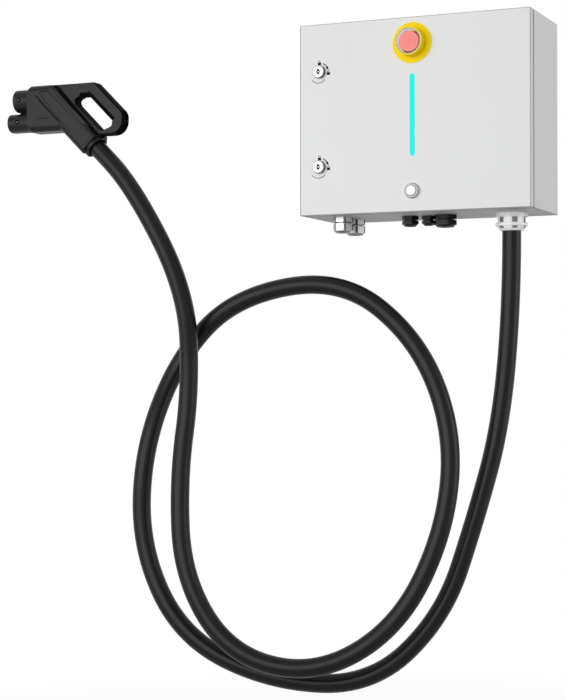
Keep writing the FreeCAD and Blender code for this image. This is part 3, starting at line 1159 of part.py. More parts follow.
# Nuts on the plate's studs and bolts on the terminals
fixings = []
for number, (across, up) in enumerate(studs):
    stud_nut = new_body(f"StudNut{number}")
    ring = sketch(stud_nut, "ring", "XZ", [hexagon("stud_nut_flats")], [("0", "0", "stud_dia")],
                  lift=PLATE_FRONT)
    pad(stud_nut, ring, "stud_nut_t")
    fixings.append(place(stud_nut, across, "0", up))
BAR_FRONT = "(post_front+bar_t)"
bolts = [(CONV_POST_X, "line_z", BAR_FRONT), (CONV_POST_X, "return_z", BAR_FRONT),
         (RELAY_LEFT, "line_z", BAR_FRONT), (RELAY_RIGHT, "line_z", BAR_FRONT),
         (RELAY_LEFT, "return_z", BAR_FRONT), (RELAY_RIGHT, "return_z", BAR_FRONT),
         ("fuse_x", "line_z", f"{BAR_FRONT}+bar_t"), ("fuse_x", FUSE_LOW, f"{BAR_FRONT}+bar_t")]
for number, (across, up, rear) in enumerate(bolts):
    bolt = new_body(f"TerminalBolt{number}")
    pad(bolt, sketch(bolt, "head", "XZ", [hexagon("bolt_flats")], lift=rear), "bolt_head")
    fixings.append(place(bolt, across, "0", up))
node("inner_fasteners", together("Fixings", *fixings))

# Control board with its relays, plugs, processor and capacitors
BOARD_BACK = f"({PLATE_FRONT}+board_foot)"
BOARD_FRONT = f"({BOARD_BACK}+board_t)"
parts_on = [block("Pcb", "board_w", "board_t", "board_tall", "board_x", BOARD_BACK, "board_z")]
for number in range(4):
    across = f"board_x+switch_x+({number}-1.5)*switch_pitch"
    parts_on.append(block(f"BoardRelay{number}", "switch_w", "switch_deep", "switch_tall", across, BOARD_FRONT,
                          "board_z+switch_z"))
parts_on.append(block("Processor", "chip_w", "chip_t", "chip_w", "board_x+chip_x", BOARD_FRONT,
                      "board_z+chip_z"))
for number in (-1, 0, 1):
    parts_on.append(block(f"Socket{number + 1}", "socket_w", "socket_deep", "socket_tall",
                          f"board_x+{number}*socket_pitch", BOARD_FRONT,
                          "board_z-board_tall/2+socket_edge+socket_tall/2"))
    parts_on.append(post(f"Capacitor{number + 1}", "can_dia", "can_long", "board_x+can_x", BOARD_FRONT,
                         f"board_z+{number}*can_pitch"))
node("control_board", fused("ControlBoard", *parts_on))

# Terminal rail and its row of terminal blocks
rail = new_body("Rail")
hat = [("0", "-rail_neck/2"), ("rail_deep-rail_t", "-rail_neck/2"), ("rail_deep-rail_t", "-rail_w/2"),
       ("rail_deep", "-rail_w/2"), ("rail_deep", "rail_t-rail_neck/2"), ("rail_t", "rail_t-rail_neck/2"),
       ("rail_t", "rail_neck/2-rail_t"), ("rail_deep", "rail_neck/2-rail_t"), ("rail_deep", "rail_w/2"),
       ("rail_deep-rail_t", "rail_w/2"), ("rail_deep-rail_t", "rail_neck/2"), ("0", "rail_neck/2")]
profile = [(f"-({deep})", up) for deep, up in hat]
pad(rail, sketch(rail, "hat", "YZ", [profile], lift="-rail_long/2"), "rail_long")
node("din_rail", place(rail, "rail_x", PLATE_FRONT, "rail_z"))
TERMINALS = 14
terminals = []
for number in range(TERMINALS):
    slice_ = new_body(f"Terminal{number}")
    steps = [("0", "terminal_tall/2"), ("terminal_low", "terminal_tall/2"),
             ("terminal_mid", "terminal_mid_tall/2"), ("terminal_deep", "terminal_top_tall/2")]
    lower = [(f"-(rail_deep+{ahead})", f"-{half}") for ahead, half in steps]
    profile = lower + [(f"-(rail_deep+{ahead})", half) for ahead, half in reversed(steps)]
    pad(slice_, sketch(slice_, "side", "YZ", [profile], lift="-terminal_w/2"), "terminal_w")
    across = f"rail_x+({number}-{(TERMINALS - 1) / 2})*terminal_pitch"
    terminals.append(place(slice_, across, PLATE_FRONT, "rail_z"))
node("terminal_blocks", together("Terminals", *terminals))

# Hand connector: a block with two noses, a slanted cable housing and a loop handle
LINE = "grip_dia/sqrt(2)"


def at_plug(thing):
    """Put a piece at the connector's cable entry."""
    return place(thing, "plug_x", "plug_y", "plug_z")


housing = new_body("Housing")
outline = [("-plug_front", "plug_base"), (f"{LINE}-plug_base", "plug_base"),
           (f"{LINE}-plug_top", "plug_top"), ("-plug_front", "plug_top")]
pad(housing, sketch(housing, "outline", "XZ", [outline], lift="-plug_thick/2"), "plug_thick")
soften(housing, "plug_round", lambda edge: along(edge, X_AXIS))
at_plug(housing)
SLANT = FreeCAD.Rotation(Y_AXIS, 225)
grip = new_body("Grip")
section = rectangle("grip_thick", "grip_dia")
pad(grip, sketch(grip, "section", "YZ", [section], lift="grip_mouth/2"), "grip_long-grip_mouth/2")
soften(grip, "grip_round", lambda edge: along(edge, X_AXIS))
pad(grip, sketch(grip, "collar", "YZ", circles=[("0", "0", "grip_dia+2*grip_collar")]), "grip_mouth")
grip.Placement.Rotation = SLANT
at_plug(grip)
loop = new_body("Loop")
ring = [("0", "handle_low"), ("handle_end", "handle_low"), ("handle_end", "handle_slope-handle_end"),
        ("handle_slope-plug_top", "plug_top"), (f"{LINE}-plug_top-loop_root", "plug_top")]
pad(loop, sketch(loop, "ring", "XZ", [ring], lift="-handle_thick/2"), "handle_thick")
end_u = size("handle_end")
soften(loop, "handle_end_r", lambda edge: along(edge, Y_AXIS) and edge.BoundBox.XMin > end_u - 1
       and edge.BoundBox.ZMax < size("handle_low") + 1)
soften(loop, "handle_top_r", lambda edge: along(edge, Y_AXIS)
       and abs(edge.BoundBox.XMin + edge.BoundBox.ZMin - size("handle_slope")) < 1e-3)
window = [("slot_inner-slot_top", "slot_top"), ("slot_outer-slot_top", "slot_top"),
          ("(slot_outer+slot_end)/2", "(slot_outer-slot_end)/2"),
          ("(slot_inner+slot_end)/2", "(slot_inner-slot_end)/2")]
pocket(loop, sketch(loop, "window", "XZ", [window], lift="handle_thick"), "2*handle_thick")


def in_window(edge):
    """Whether an edge lies on the hand slot."""
    middle = edge.CenterOfMass
    level = middle.x + middle.z
    return size("slot_inner") - 2 < level < size("slot_outer") + 2 and middle.z < size("slot_top") + 1


soften(loop, "slot_r", lambda edge: along(edge, Y_AXIS) and in_window(edge))
soften(loop, "handle_round", lambda edge: not along(edge, Y_AXIS)
       and edge.CenterOfMass.x + edge.CenterOfMass.z > size("slot_inner-loop_root")
       and abs(edge.CenterOfMass.y) > size("handle_thick") / 2 - 0.1)
at_plug(loop)
form = fused("PlugForm", housing, grip, loop)

hollow = new_body("PlugHollow")
shrunk = [("shell_wall-plug_front", "plug_base+shell_wall"),
          (f"{LINE}-plug_base-3*shell_wall", "plug_base+shell_wall"),
          (f"{LINE}-plug_top-shell_wall", "plug_top-shell_wall"),
          ("shell_wall-plug_front", "plug_top-shell_wall")]
pad(hollow, sketch(hollow, "shrunk", "XZ", [shrunk], lift="shell_wall-plug_thick/2"), "plug_thick-2*shell_wall")
soften(hollow, "plug_round-shell_wall", lambda edge: along(edge, X_AXIS))
at_plug(hollow)
mouth = new_body("Mouth")
pad(mouth, sketch(mouth, "bore", "YZ", circles=[("0", "0", "entry_dia")], lift="-shell_wall"),
    "grip_long+shell_wall-grip_end")
mouth.Placement.Rotation = SLANT
at_plug(mouth)
nose_holes = new_body("NoseHoles")
pad(nose_holes, sketch(nose_holes, "round", "YZ", circles=[("0", "signal_up", "signal_dia+2*nose_fit")],
                       lift="-plug_front-shell_wall/2"), "2*shell_wall")
flat_span = "power_wide-power_w"
flat_hole = rectangle(flat_span, "power_w+2*nose_fit", "0", "power_up")
pad(nose_holes, sketch(nose_holes, "flat", "YZ", [flat_hole], lift="-plug_front-shell_wall/2"), "2*shell_wall")
for side in (-1, 1):
    end = [(f"{side}*({flat_span})/2", "power_up", "power_w+2*nose_fit")]
    pad(nose_holes, sketch(nose_holes, "end", "YZ", circles=end, lift="-plug_front-shell_wall/2"), "2*shell_wall")
at_plug(nose_holes)

# Housing screws, from the far half through the loop handle
SCREWS = [("-screw_back", "plug_top-screw_down"),
          ("handle_slope/2-screw_mid_up-screw_mid_in/2", "handle_slope/2+screw_mid_up-screw_mid_in/2"),
          ("handle_end-screw_end_in", "handle_low+screw_end_up")]
screw_shafts, screw_wells, screw_pieces = [], [], []


def across_screw(name, wide, long, far, spot):
    """A round bar across the handle, from its far face towards the near one."""
    bar = doc.addObject("Part::Cylinder", name)
    bar.setExpression("Radius", bound(f"({wide})/2"))
    bar.setExpression("Height", bound(long))
    bar.Placement.Rotation = FreeCAD.Rotation(X_AXIS, 90)
    return place(bar, f"plug_x+{spot[0]}", f"plug_y-({far})", f"plug_z+{spot[1]}")


for number, spot in enumerate(SCREWS):
    seat = "(handle_thick/2-screw_sunk)"
    shaft_long, bore_dia = f"{seat}+screw_grip", "screw_dia+2*screw_fit"
    screw_wells.append(across_screw(f"Well{number}", "screw_head_dia+4*screw_fit", "2*screw_sunk",
                                    f"{seat}+2*screw_sunk", spot))
    screw_wells.append(across_screw(f"Bore{number}", bore_dia, f"{shaft_long}+screw_dia/4", seat, spot))
    head = across_screw(f"ScrewHead{number}", "screw_head_dia", "screw_head", f"{seat}+screw_head", spot)
    shaft = across_screw(f"ScrewShaft{number}", "screw_dia", shaft_long, seat, spot)
    screw_pieces.append(fused(f"Screw{number}", head, shaft))
void = fused("PlugVoid", hollow, mouth, nose_holes, *screw_wells)
shell = cut("PlugShell", form, void)
for label, offset in (("left", "split_reach"), ("right", "0")):
    half = doc.addObject("Part::Box", f"Half_{label}")
    for field, length in (("Length", "2*split_reach"), ("Width", "split_reach"), ("Height", "2*split_reach")):
        half.setExpression(field, bound(length))
    place(half, "plug_x-split_reach", f"plug_y+{offset}", "plug_z-split_reach")
    side = doc.addObject("Part::Common", f"Shell_{label}")
    side.Base = shell
    side.Tool = half
    node(f"connector_shell_{label}", side)
node("connector_screws", together("ConnectorScrews", *screw_pieces))

# Noses, contacts, inner core and cable grommet
NOSE_ROOT = "(nose_root-plug_front)"
signal = new_body("SignalNose")
signal_ring = sketch(signal, "outside", "YZ", circles=[("0", "signal_up", "signal_dia")], lift="-signal_end")
pad(signal, signal_ring, f"signal_end+{NOSE_ROOT}")
soften(signal, "nose_edge", lambda edge: edge.BoundBox.XMax < -size("signal_end") + 1e-6)
recess = sketch(signal, "recess", "YZ", circles=[("0", "signal_up", "signal_bore_dia")],
                lift="nose_deep-signal_end")
pocket(signal, recess, "nose_deep+1")
node("connector_signal_nose", at_plug(signal))
power = new_body("PowerNose")
power_long = f"power_end+{NOSE_ROOT}"
pad(power, sketch(power, "flat", "YZ", [rectangle(flat_span, "power_w", "0", "power_up")],
                  lift="-power_end"), power_long)
for side in (-1, 1):
    end = [(f"{side}*({flat_span})/2", "power_up", "power_w")]
    pad(power, sketch(power, "end", "YZ", circles=end, lift="-power_end"), power_long)
wells = [(f"{side}*power_pitch/2", "power_up", "power_bore_dia") for side in (-1, 1)]
pocket(power, sketch(power, "wells", "YZ", circles=wells, lift="nose_deep-power_end"), "nose_deep+1")
node("connector_power_nose", at_plug(power))


def contact(name, across, up, wide, long, floor):
    """A hollow contact that stands on the floor of its recess."""
    tube = new_body(name)
    pad(tube, sketch(tube, "tube", "YZ", circles=[(across, up, wide)], lift=f"{floor}-({long})"), long)
    pocket(tube, sketch(tube, "hole", "YZ", circles=[(across, up, f"{wide}-2*contact_wall")],
                        lift=f"{floor}-contact_floor"), long)
    return at_plug(tube)


signal_floor, power_floor = "nose_deep-signal_end", "nose_deep-power_end"
contacts = [contact("ContactCentre", "0", "signal_up", "contact_dia", "contact_long", signal_floor)]
SIGNALS = 6
for number in range(SIGNALS):
    angle = f"{(number + 0.5) * 360 / SIGNALS} deg"
    across, up = f"contact_ring/2*cos({angle})", f"signal_up+contact_ring/2*sin({angle})"
    contacts.append(contact(f"Contact{number}", across, up, "contact_dia", "contact_long", signal_floor))
for side in (-1, 1):
    contacts.append(contact(f"PowerContact{side}", f"{side}*power_pitch/2", "power_up",
                            "power_contact_dia", "power_contact_long", power_floor))
node("connector_contacts", together("Contacts", *contacts))

core = new_body("Carrier")
low, high = "(plug_base+shell_wall+core_fit)", "(plug_top-shell_wall-core_fit)"
fill = [(NOSE_ROOT, low), (f"{LINE}-{low}-3*shell_wall", low),
        (f"{LINE}-{high}-2*shell_wall", high), (NOSE_ROOT, high)]
pad(core, sketch(core, "fill", "XZ", [fill], lift="shell_wall-plug_thick/2+core_fit"),
    "plug_thick-2*shell_wall-2*core_fit")
soften(core, "plug_round-shell_wall", lambda edge: along(edge, X_AXIS))
at_plug(core)
stub = new_body("CarrierStub")
pad(stub, sketch(stub, "stub", "YZ", circles=[("0", "0", "entry_dia-core_fit")], lift="entry_deep"),
    "grip_long-entry_deep-core_root")
stub.Placement.Rotation = SLANT
at_plug(stub)
node("connector_core", fused("Core", core, stub))
grommet = new_body("Grommet")
rings = [("0", "0", "entry_dia-2*seal_fit"), ("0", "0", "cable_dia+2*cable_fit")]
pad(grommet, sketch(grommet, "ring", "YZ", circles=rings, lift="grommet_in"), "grommet_t")
grommet.Placement.Rotation = SLANT
node("connector_grommet", at_plug(grommet))

# Every object has to be sound before anything is written
doc.recompute()
unsound = [item.Label for item in doc.Objects if set(item.State) & {"Invalid", "Error"}]
if unsound:
    raise SystemExit(f"failed objects: {unsound}")
os.makedirs("parts", exist_ok=True)
for item in nodes:
    shape = item.Shape
    if shape.isNull() or not shape.isValid() or not shape.Solids:
        raise SystemExit(f"unsound shape: {item.Label}")
    shape.exportStep(f"parts/{item.Label}.step")
print(len(nodes), "nodes,", sum(len(item.Shape.Solids) for item in nodes), "solids")
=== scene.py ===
# %% [markdown]
# # A wall-hung charger with its cable and hand connector
# The real charger is a folded steel box with a locked door. A thick cable leaves a gland under its floor
# and ends in a hand connector. This file dresses the measured solids: it gives every surface its finish,
# and it models the pieces whose looks come from soft or very fine forms.
# Lengths are metres, unless a line says millimetres. The door faces -Y, and the wall is the plane y = 0.

# %% Load the measured model
import json
import math

import bmesh
import bpy
from mathutils import Matrix, Vector


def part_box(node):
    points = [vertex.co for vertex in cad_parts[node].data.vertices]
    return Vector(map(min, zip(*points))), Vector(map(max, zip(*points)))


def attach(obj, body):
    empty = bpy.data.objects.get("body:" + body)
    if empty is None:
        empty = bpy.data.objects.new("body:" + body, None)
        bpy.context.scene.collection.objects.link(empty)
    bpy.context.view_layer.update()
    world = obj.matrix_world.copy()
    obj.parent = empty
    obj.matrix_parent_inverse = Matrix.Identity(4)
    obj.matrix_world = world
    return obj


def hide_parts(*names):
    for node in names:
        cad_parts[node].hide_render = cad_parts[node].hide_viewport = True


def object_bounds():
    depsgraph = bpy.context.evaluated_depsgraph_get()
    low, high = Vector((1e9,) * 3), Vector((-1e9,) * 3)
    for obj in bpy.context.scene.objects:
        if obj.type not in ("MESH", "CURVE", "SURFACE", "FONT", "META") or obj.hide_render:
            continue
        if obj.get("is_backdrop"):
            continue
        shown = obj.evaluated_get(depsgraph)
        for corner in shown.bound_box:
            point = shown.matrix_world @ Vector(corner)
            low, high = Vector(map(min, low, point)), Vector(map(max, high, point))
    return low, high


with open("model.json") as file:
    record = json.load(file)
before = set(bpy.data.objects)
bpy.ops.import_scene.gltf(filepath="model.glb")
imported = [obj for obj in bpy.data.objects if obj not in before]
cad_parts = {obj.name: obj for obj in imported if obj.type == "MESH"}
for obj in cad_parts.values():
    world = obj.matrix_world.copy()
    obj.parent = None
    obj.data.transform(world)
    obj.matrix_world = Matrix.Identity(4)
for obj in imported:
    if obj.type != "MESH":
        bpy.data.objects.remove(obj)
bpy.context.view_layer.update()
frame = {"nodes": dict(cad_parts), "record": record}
nodes = frame["nodes"]
scene = bpy.context.scene
MM = 0.001

# %% [markdown]
# ## Camera
# The photograph was taken from the right of the door and a little below the middle of the box, with a
# long lens. The camera stands where the corners of a 500 x 400 x 200 mm box land on the photograph's
# corners. Blender's sensor width is measured along the picture's long side, here the height.

# %% Camera
CAMERA_PLACE = Vector((1.2854, -3.7807, -0.5581))
CAMERA_TURN = math.radians(23.74)
CAMERA_TILT = math.radians(1.143)
FOCAL_PIXELS = 1863
PICTURE_HEIGHT = 700
SENSOR_WIDTH = 36
FARTHEST = 50

camera = bpy.data.objects.new("camera", bpy.data.cameras.new("camera"))
scene.collection.objects.link(camera)
camera.location = CAMERA_PLACE
camera.rotation_euler = (math.radians(90) + CAMERA_TILT, 0, CAMERA_TURN)
camera.data.sensor_width = SENSOR_WIDTH
camera.data.lens = FOCAL_PIXELS * SENSOR_WIDTH / PICTURE_HEIGHT
camera.data.clip_end = FARTHEST
scene.camera = camera
print("lens", round(camera.data.lens, 1), "mm")

# %% [markdown]
# ## Shader maths
# A material's pattern is arithmetic on positions: a stripe is a remainder, an edge is a comparison.
# Wrapping a socket in a small class lets that arithmetic be written as a Python expression, and each
# operator adds the Math node it stands for.

# %% A value that can be calculated with


class Amount:
    """One shader value: an output socket that Python's operators can use."""

    def __init__(self, paint, socket):
        self.paint = paint
        self.socket = socket

    def maths(self, operation, other=0.0, swapped=False):
        """Add a Math node for this value and another, perhaps with the two swapped."""
        first, second = (other, self) if swapped else (self, other)
        return self.paint.node("ShaderNodeMath", {"operation": operation}, {0: first, 1: second})

    def __add__(self, other):
        return self.maths("ADD", other)

    def __sub__(self, other):
        return self.maths("SUBTRACT", other)

    def __rsub__(self, other):
        return self.maths("SUBTRACT", other, swapped=True)

    def __mul__(self, other):
        return self.maths("MULTIPLY", other)

    def __truediv__(self, other):
        return self.maths("DIVIDE", other)

    def __pow__(self, other):
        return self.maths("POWER", other)

    def __gt__(self, other):
        return self.maths("GREATER_THAN", other)

    def __lt__(self, other):
        return self.maths("LESS_THAN", other)

    def __mod__(self, other):
        return self.maths("FLOORED_MODULO", other)

    def __abs__(self):
        return self.maths("ABSOLUTE")

    __radd__ = __add__
    __rmul__ = __mul__

    def most(self, other):
        """The larger of two values."""
        return self.maths("MAXIMUM", other)

    def least(self, other):
        """The smaller of two values."""
        return self.maths("MINIMUM", other)


def ramp(value, start, width):
    """0 up to a start, 1 past a width more, and straight in between."""
    return ((value - start) / width).most(0.0).least(1.0)


def distance(first, second):
    """How far a point is from an axis, from its two coordinates across that axis."""
    return (first * first + second * second) ** 0.5


print("shader maths ready")

# %% [markdown]
# ## One way to add a node
# Every other node comes from one method that takes its type, its settings and its sockets' values or
# links. A few shorter names for the nodes that return often let a material read from top to bottom.

# %% The node tree


class Paint:
    """The node tree of a material or of the world, and the one method that adds a node to it."""

    def __init__(self, owner):
        owner.use_nodes = True
        self.owner = owner
        self.tree = owner.node_tree
        self.tree.nodes.clear()

    def node(self, kind, settings=None, inputs=None, output=0):
        """Add a node: its settings first, then the values or links of its sockets."""
        made = self.tree.nodes.new(kind)
        for field, value in (settings or {}).items():
            setattr(made, field, value)
        for name, value in (inputs or {}).items():
            if isinstance(value, Amount):
                self.tree.links.new(value.socket, made.inputs[name])
            else:
                made.inputs[name].default_value = value
        return Amount(self, made.outputs[output]) if made.outputs else made

    def place(self):
        """The position on the piece, in metres."""
        return self.node("ShaderNodeTexCoord", output="Object")

    def axes(self):
        """The position's three coordinates."""
        split = self.node("ShaderNodeSeparateXYZ", inputs={0: self.place()}).socket.node
        return [Amount(self, output) for output in split.outputs]

    def noise(self, grain, detail=3.0, stretch=(1, 1, 1)):
        """Soft noise from 0 to 1, with features about one grain across, in metres."""
        spot = self.node("ShaderNodeMapping", {}, {"Vector": self.place(), "Scale": stretch})
        return self.node("ShaderNodeTexNoise", {}, {"Vector": spot, "Scale": 1 / grain, "Detail": detail})

    def mix(self, share, first, second):
        """Blend two colours."""
        return self.node("ShaderNodeMix", {"data_type": "RGBA"}, {0: share, 6: first, 7: second}, output=2)

    def darkened(self, colour, shades):
        """A colour with the painted shade, reflections and light that a function names, or without any."""
        for share, dark in shades(self) if shades else ():
            colour = self.mix(share, colour, dark)
        return colour

    def bump(self, height, depth, strength=1.0):
        """A surface whose height, from 0 to 1, is a depth in metres."""
        return self.node("ShaderNodeBump", {}, {"Height": height, "Distance": depth, "Strength": strength})

    def finish(self, **values):
        """End the tree in one Principled shader, and give the material back."""
        sockets = {name.replace("_", " "): value for name, value in values.items()}
        return self.end(self.node("ShaderNodeBsdfPrincipled", {}, sockets))

    def end(self, shader):
        """Lead a shader to the material's or the world's output."""
        is_world = isinstance(self.owner, bpy.types.World)
        kind = "ShaderNodeOutputWorld" if is_world else "ShaderNodeOutputMaterial"
        self.node(kind, {}, {"Surface": shader})
        return self.owner


def material(name):
    """A new material's empty node tree."""
    return Paint(bpy.data.materials.new(name))


print("node tree ready")

# %% [markdown]
# ## Colours
# A colour is easiest to write as a screen shows it, from 0 to 255. Shaders want the amount of light
# instead, so the screen's curve is taken out first.

# %% Colours
WHITE = (1, 1, 1, 1)


def rgb(red, green, blue):
    """A colour as a screen shows it, from 0 to 255, in the linear values that shaders take."""
    shares = [part / 255 for part in (red, green, blue)]
    linear = [part / 12.92 if part <= 0.04045 else ((part + 0.055) / 1.055) ** 2.4 for part in shares]
    return (*linear, 1.0)


def darker(colour, share):
    """The same colour, closer to black."""
    return tuple(part * share for part in colour[:3]) + (1.0,)


print("a screen's 128 is", round(rgb(128, 128, 128)[0], 3), "in a shader")

# %% [markdown]
# ## The cable
# The output cable is 39 mm thick and nearly five metres long, so it holds wide bends: down from its
# gland, round one open loop, over itself, and up to the connector that is held beside the box. A curve
# with a round bevel is the plainest way to make it. The spline is pulled towards its points, so it runs
# smoothly inside them. Its last stretch lies hidden in the connector's housing, which it carries.

# %% Cable, its route in millimetres
CABLE_THICK = 0.039
CABLE_ROUTE = [
    (178.5, -95, -237.5),
    (178.5, -95, -380),
    (155, -95, -635),
    (110, -130, -830),
    (55, -170, -1025),
    (-85, -215, -1167.8),
    (-295, -255, -1165),
    (-480, -290, -1080),
    (-580, -285, -900),
    (-575, -285, -690),
    (-535, -200, -495),
    (-395, -205, -365),
    (-160, -190, -330),
    (5, -180, -460),
    (85, -190, -650),
    (75, -220, -850),
    (-10, -260, -1040),
    (-170, -305, -1140),
    (-350, -330, -1105),
    (-455, -336.8, -950),
    (-475, -315, -745),
    (-455, -300, -560),
    (-495, -240, -355),
    (-631.2, -226, -123.8),
    (-741.2, -226, -13.8),
    (-790.0, -226, 35.0),
]

cable_curve = bpy.data.curves.new("output_cable", "CURVE")
cable_curve.dimensions = "3D"
cable_curve.resolution_u = 16
cable_curve.bevel_depth = 1.0
cable_curve.bevel_resolution = 10
cable_curve.use_fill_caps = True
spline = cable_curve.splines.new("NURBS")
spline.points.add(len(CABLE_ROUTE) - 1)
for point, (x, y, z) in zip(spline.points, CABLE_ROUTE):
    point.co = (x * MM, y * MM, z * MM, 1)
    point.radius = CABLE_THICK / 2
spline.order_u = 3
spline.use_endpoint_u = True
cable = bpy.data.objects.new("output_cable", cable_curve)
scene.collection.objects.link(cable)
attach(cable, "enclosure")
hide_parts("dc_cable")
print("cable points", len(CABLE_ROUTE))

# %% [markdown]
# ## White room
# The photograph has a bare white ground. More light would whiten the ground and the box alike, so the
# world shows white only to rays from the camera, from mirrors and through glass. The light that it gives
# is faint, and it is what the underside gets.

# %% White room
ROOM_LIGHT = 0.30


def seen_directly(paint):
    """1 for rays from the camera, from mirrors and through glass, otherwise 0."""
    rays = paint.node("ShaderNodeLightPath").socket.node.outputs
    camera_ray, mirror_ray, glass_ray = [
        Amount(paint, rays[name]) for name in ("Is Camera Ray", "Is Glossy Ray", "Is Transmission Ray")]
    return camera_ray.most(mirror_ray).most(glass_ray)


room = Paint(bpy.data.worlds.new("studio"))
soft = room.node("ShaderNodeBackground", {}, {"Color": WHITE, "Strength": ROOM_LIGHT})
plain = room.node("ShaderNodeBackground", {}, {"Color": WHITE, "Strength": 1.0})
scene.world = room.end(room.node("ShaderNodeMixShader", {}, {0: seen_directly(room), 1: soft, 2: plain}))
print("room light", ROOM_LIGHT)

# %% [markdown]
# ## Pale floor
# A wide floor far below the box takes the shadows. It is a matt grey that is mostly covered by white for
# the same rays as the room, so it keeps a faint shadow near the box and fades into the ground further out.

# %% Pale floor
FLOOR_LEVEL = -1.62
FLOOR_HALF_SIZE = 14
NEAR_WHITENESS = 0.88
FADE_START = 2.2
FADE_WIDTH = 1.2

bm = bmesh.new()
bmesh.ops.create_grid(bm, x_segments=1, y_segments=1, size=FLOOR_HALF_SIZE)
bmesh.ops.translate(bm, verts=bm.verts, vec=(0, 0, FLOOR_LEVEL))
floor_mesh = bpy.data.meshes.new("floor")
bm.to_mesh(floor_mesh)
bm.free()
floor = bpy.data.objects.new("floor", floor_mesh)
scene.collection.objects.link(floor)
floor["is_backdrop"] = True

ground = material("pale_floor")
matt = ground.node("ShaderNodeBsdfDiffuse", {}, {"Color": rgb(140, 140, 140)})
bright = ground.node("ShaderNodeEmission", {}, {"Color": WHITE, "Strength": 1.0})
from_box = ground.node("ShaderNodeVectorMath", {"operation": "LENGTH"}, {0: ground.place()}, output="Value")
whiteness = NEAR_WHITENESS + (1 - NEAR_WHITENESS) * ramp(from_box, FADE_START, FADE_WIDTH)
covered = whiteness * seen_directly(ground)
surface = ground.node("ShaderNodeMixShader", {}, {0: covered, 1: matt, 2: bright})
floor_mesh.materials.append(ground.end(surface))
print("floor at", FLOOR_LEVEL)

# %% [markdown]
# ## Soft boxes
# One large soft box in front lights the door, and a smaller one at the right lights that side. With the
# room's faint light on the underside, the three faces have three different greys, as in the photograph.

# %% Soft boxes
LAMP_AIM = Vector((-0.2, -0.2, -0.4))


def soft_lamp(name, place, wide, tall, power):
    """A soft box at a place, turned towards the middle of the box and its cable."""
    data = bpy.data.lights.new(name, "AREA")
    data.shape = "RECTANGLE"
    data.size = wide
    data.size_y = tall
    data.energy = power
    lamp = bpy.data.objects.new(name, data)
    lamp.location = place
    lamp.rotation_euler = (LAMP_AIM - Vector(place)).to_track_quat("-Z", "Y").to_euler()
    scene.collection.objects.link(lamp)


soft_lamp("key_lamp", (-1.2, -4.1, 0.15), wide=4.8, tall=3.0, power=152)
soft_lamp("side_lamp", (4.0, 0.3, 0.2), wide=2.2, tall=3.0, power=62)
scene.view_settings.view_transform = "Standard"
print("lamps", len(bpy.data.lights))

# %% [markdown]
# ## Powder coat
# The box is steel under a fine powder coat, whose tiny orange-peel waves break up the highlights. Its
# folded edges and the seam behind the door are painted darker than its faces, as painted shade: the folds
# turn from the lamps, the door's left fold most, and the seam lies in shadow. Rounding every fold would cost
# many faces for lines this thin, so the coat finds them: where two sides of the box meet, and at one depth.

# %% Powder coat
COAT_WHITE = rgb(226, 227, 227)
DOOR_FACE = 0.2
BOX_HALF_WIDE = 0.25
BOX_HALF_TALL = 0.2
FOLD = 0.002
LEFT_FOLD = 0.003
SEAM_DEPTH = 0.179
SEAM_HALF_WIDE = 0.003


def powder_coat():
    """Textured powder coat: a fine grain over a slower wave, with painted shade on the folds and the seam."""
    paint = material("powder_coat")
    grain = paint.noise(0.0009, detail=2.0)
    wave = paint.noise(0.006, detail=1.0)
    tint = paint.noise(0.12, detail=2.0)
    x, y, z = paint.axes()
    sides, ends = abs(x) > BOX_HALF_WIDE - FOLD, abs(z) > BOX_HALF_TALL - FOLD
    front, back = y < FOLD - DOOR_FACE, y > -FOLD
    # Painted shade: the folds, the door's left fold most, and a thin band at the seam are coloured darker.
    painted_fold_shade = sides * ends + (sides + ends) * (front + back) > 0.5
    painted_left_fold_shade = (x < LEFT_FOLD - BOX_HALF_WIDE) * front
    painted_seam_shade = (abs(y + SEAM_DEPTH) < SEAM_HALF_WIDE) * (sides + ends)
    colour = paint.mix(tint, COAT_WHITE, darker(COAT_WHITE, 0.965))
    colour = paint.mix(painted_fold_shade, colour, darker(COAT_WHITE, 0.62))
    colour = paint.mix(painted_left_fold_shade, colour, darker(COAT_WHITE, 0.48))
    colour = paint.mix(painted_seam_shade.least(1.0), colour, darker(COAT_WHITE, 0.26))
    relief = paint.bump(0.35 * grain + 0.65 * wave, 0.00012, 0.4)
    return paint.finish(Base_Color=colour, Roughness=0.46 + 0.10 * grain, Normal=relief,
                        Specular_IOR_Level=0.45)


print("coat white", [round(part, 3) for part in COAT_WHITE[:3]])

# %% [markdown]
# ## Bare and plated metal
# Inside, the brackets are bright zinc and the bars bare copper. Outside, the locks, the button and the
# left glands are polished. All are plain metal with an uneven roughness: patches on zinc, tarnish on
# copper, and fine wiping marks on what hands and cloths polish.

# %% Bare and plated metal


def zinc_plate(name, colour, rough):
    """Bright zinc: metal with cloudy patches and fine drawn lines."""
    paint = material(name)
    cloud = paint.noise(0.009, detail=4.0)
    lines = paint.noise(0.0012, detail=2.0, stretch=(1, 1, 0.08))
    shade = paint.mix(cloud, colour, darker(colour, 0.78))
    return paint.finish(Base_Color=shade, Metallic=1.0, Roughness=rough + 0.18 * cloud,
                        Normal=paint.bump(lines, 0.00003, 0.3))


def polished_metal(name, colour, rough, shades):
    """Polished casting or nickel plate: nearly a mirror, with faint waves, wiping marks and the painted
    reflections and shade that a function names.
    """
    paint = material(name)
    wave = paint.noise(0.004, detail=2.0)
    wipe = paint.noise(0.0008, detail=2.0, stretch=(1, 1, 6))
    shade = paint.darkened(paint.mix(wave, colour, darker(colour, 0.93)), shades)
    return paint.finish(Base_Color=shade, Metallic=1.0, Roughness=rough + 0.10 * wipe,
                        Normal=paint.bump(wave, 0.00005, 0.35))


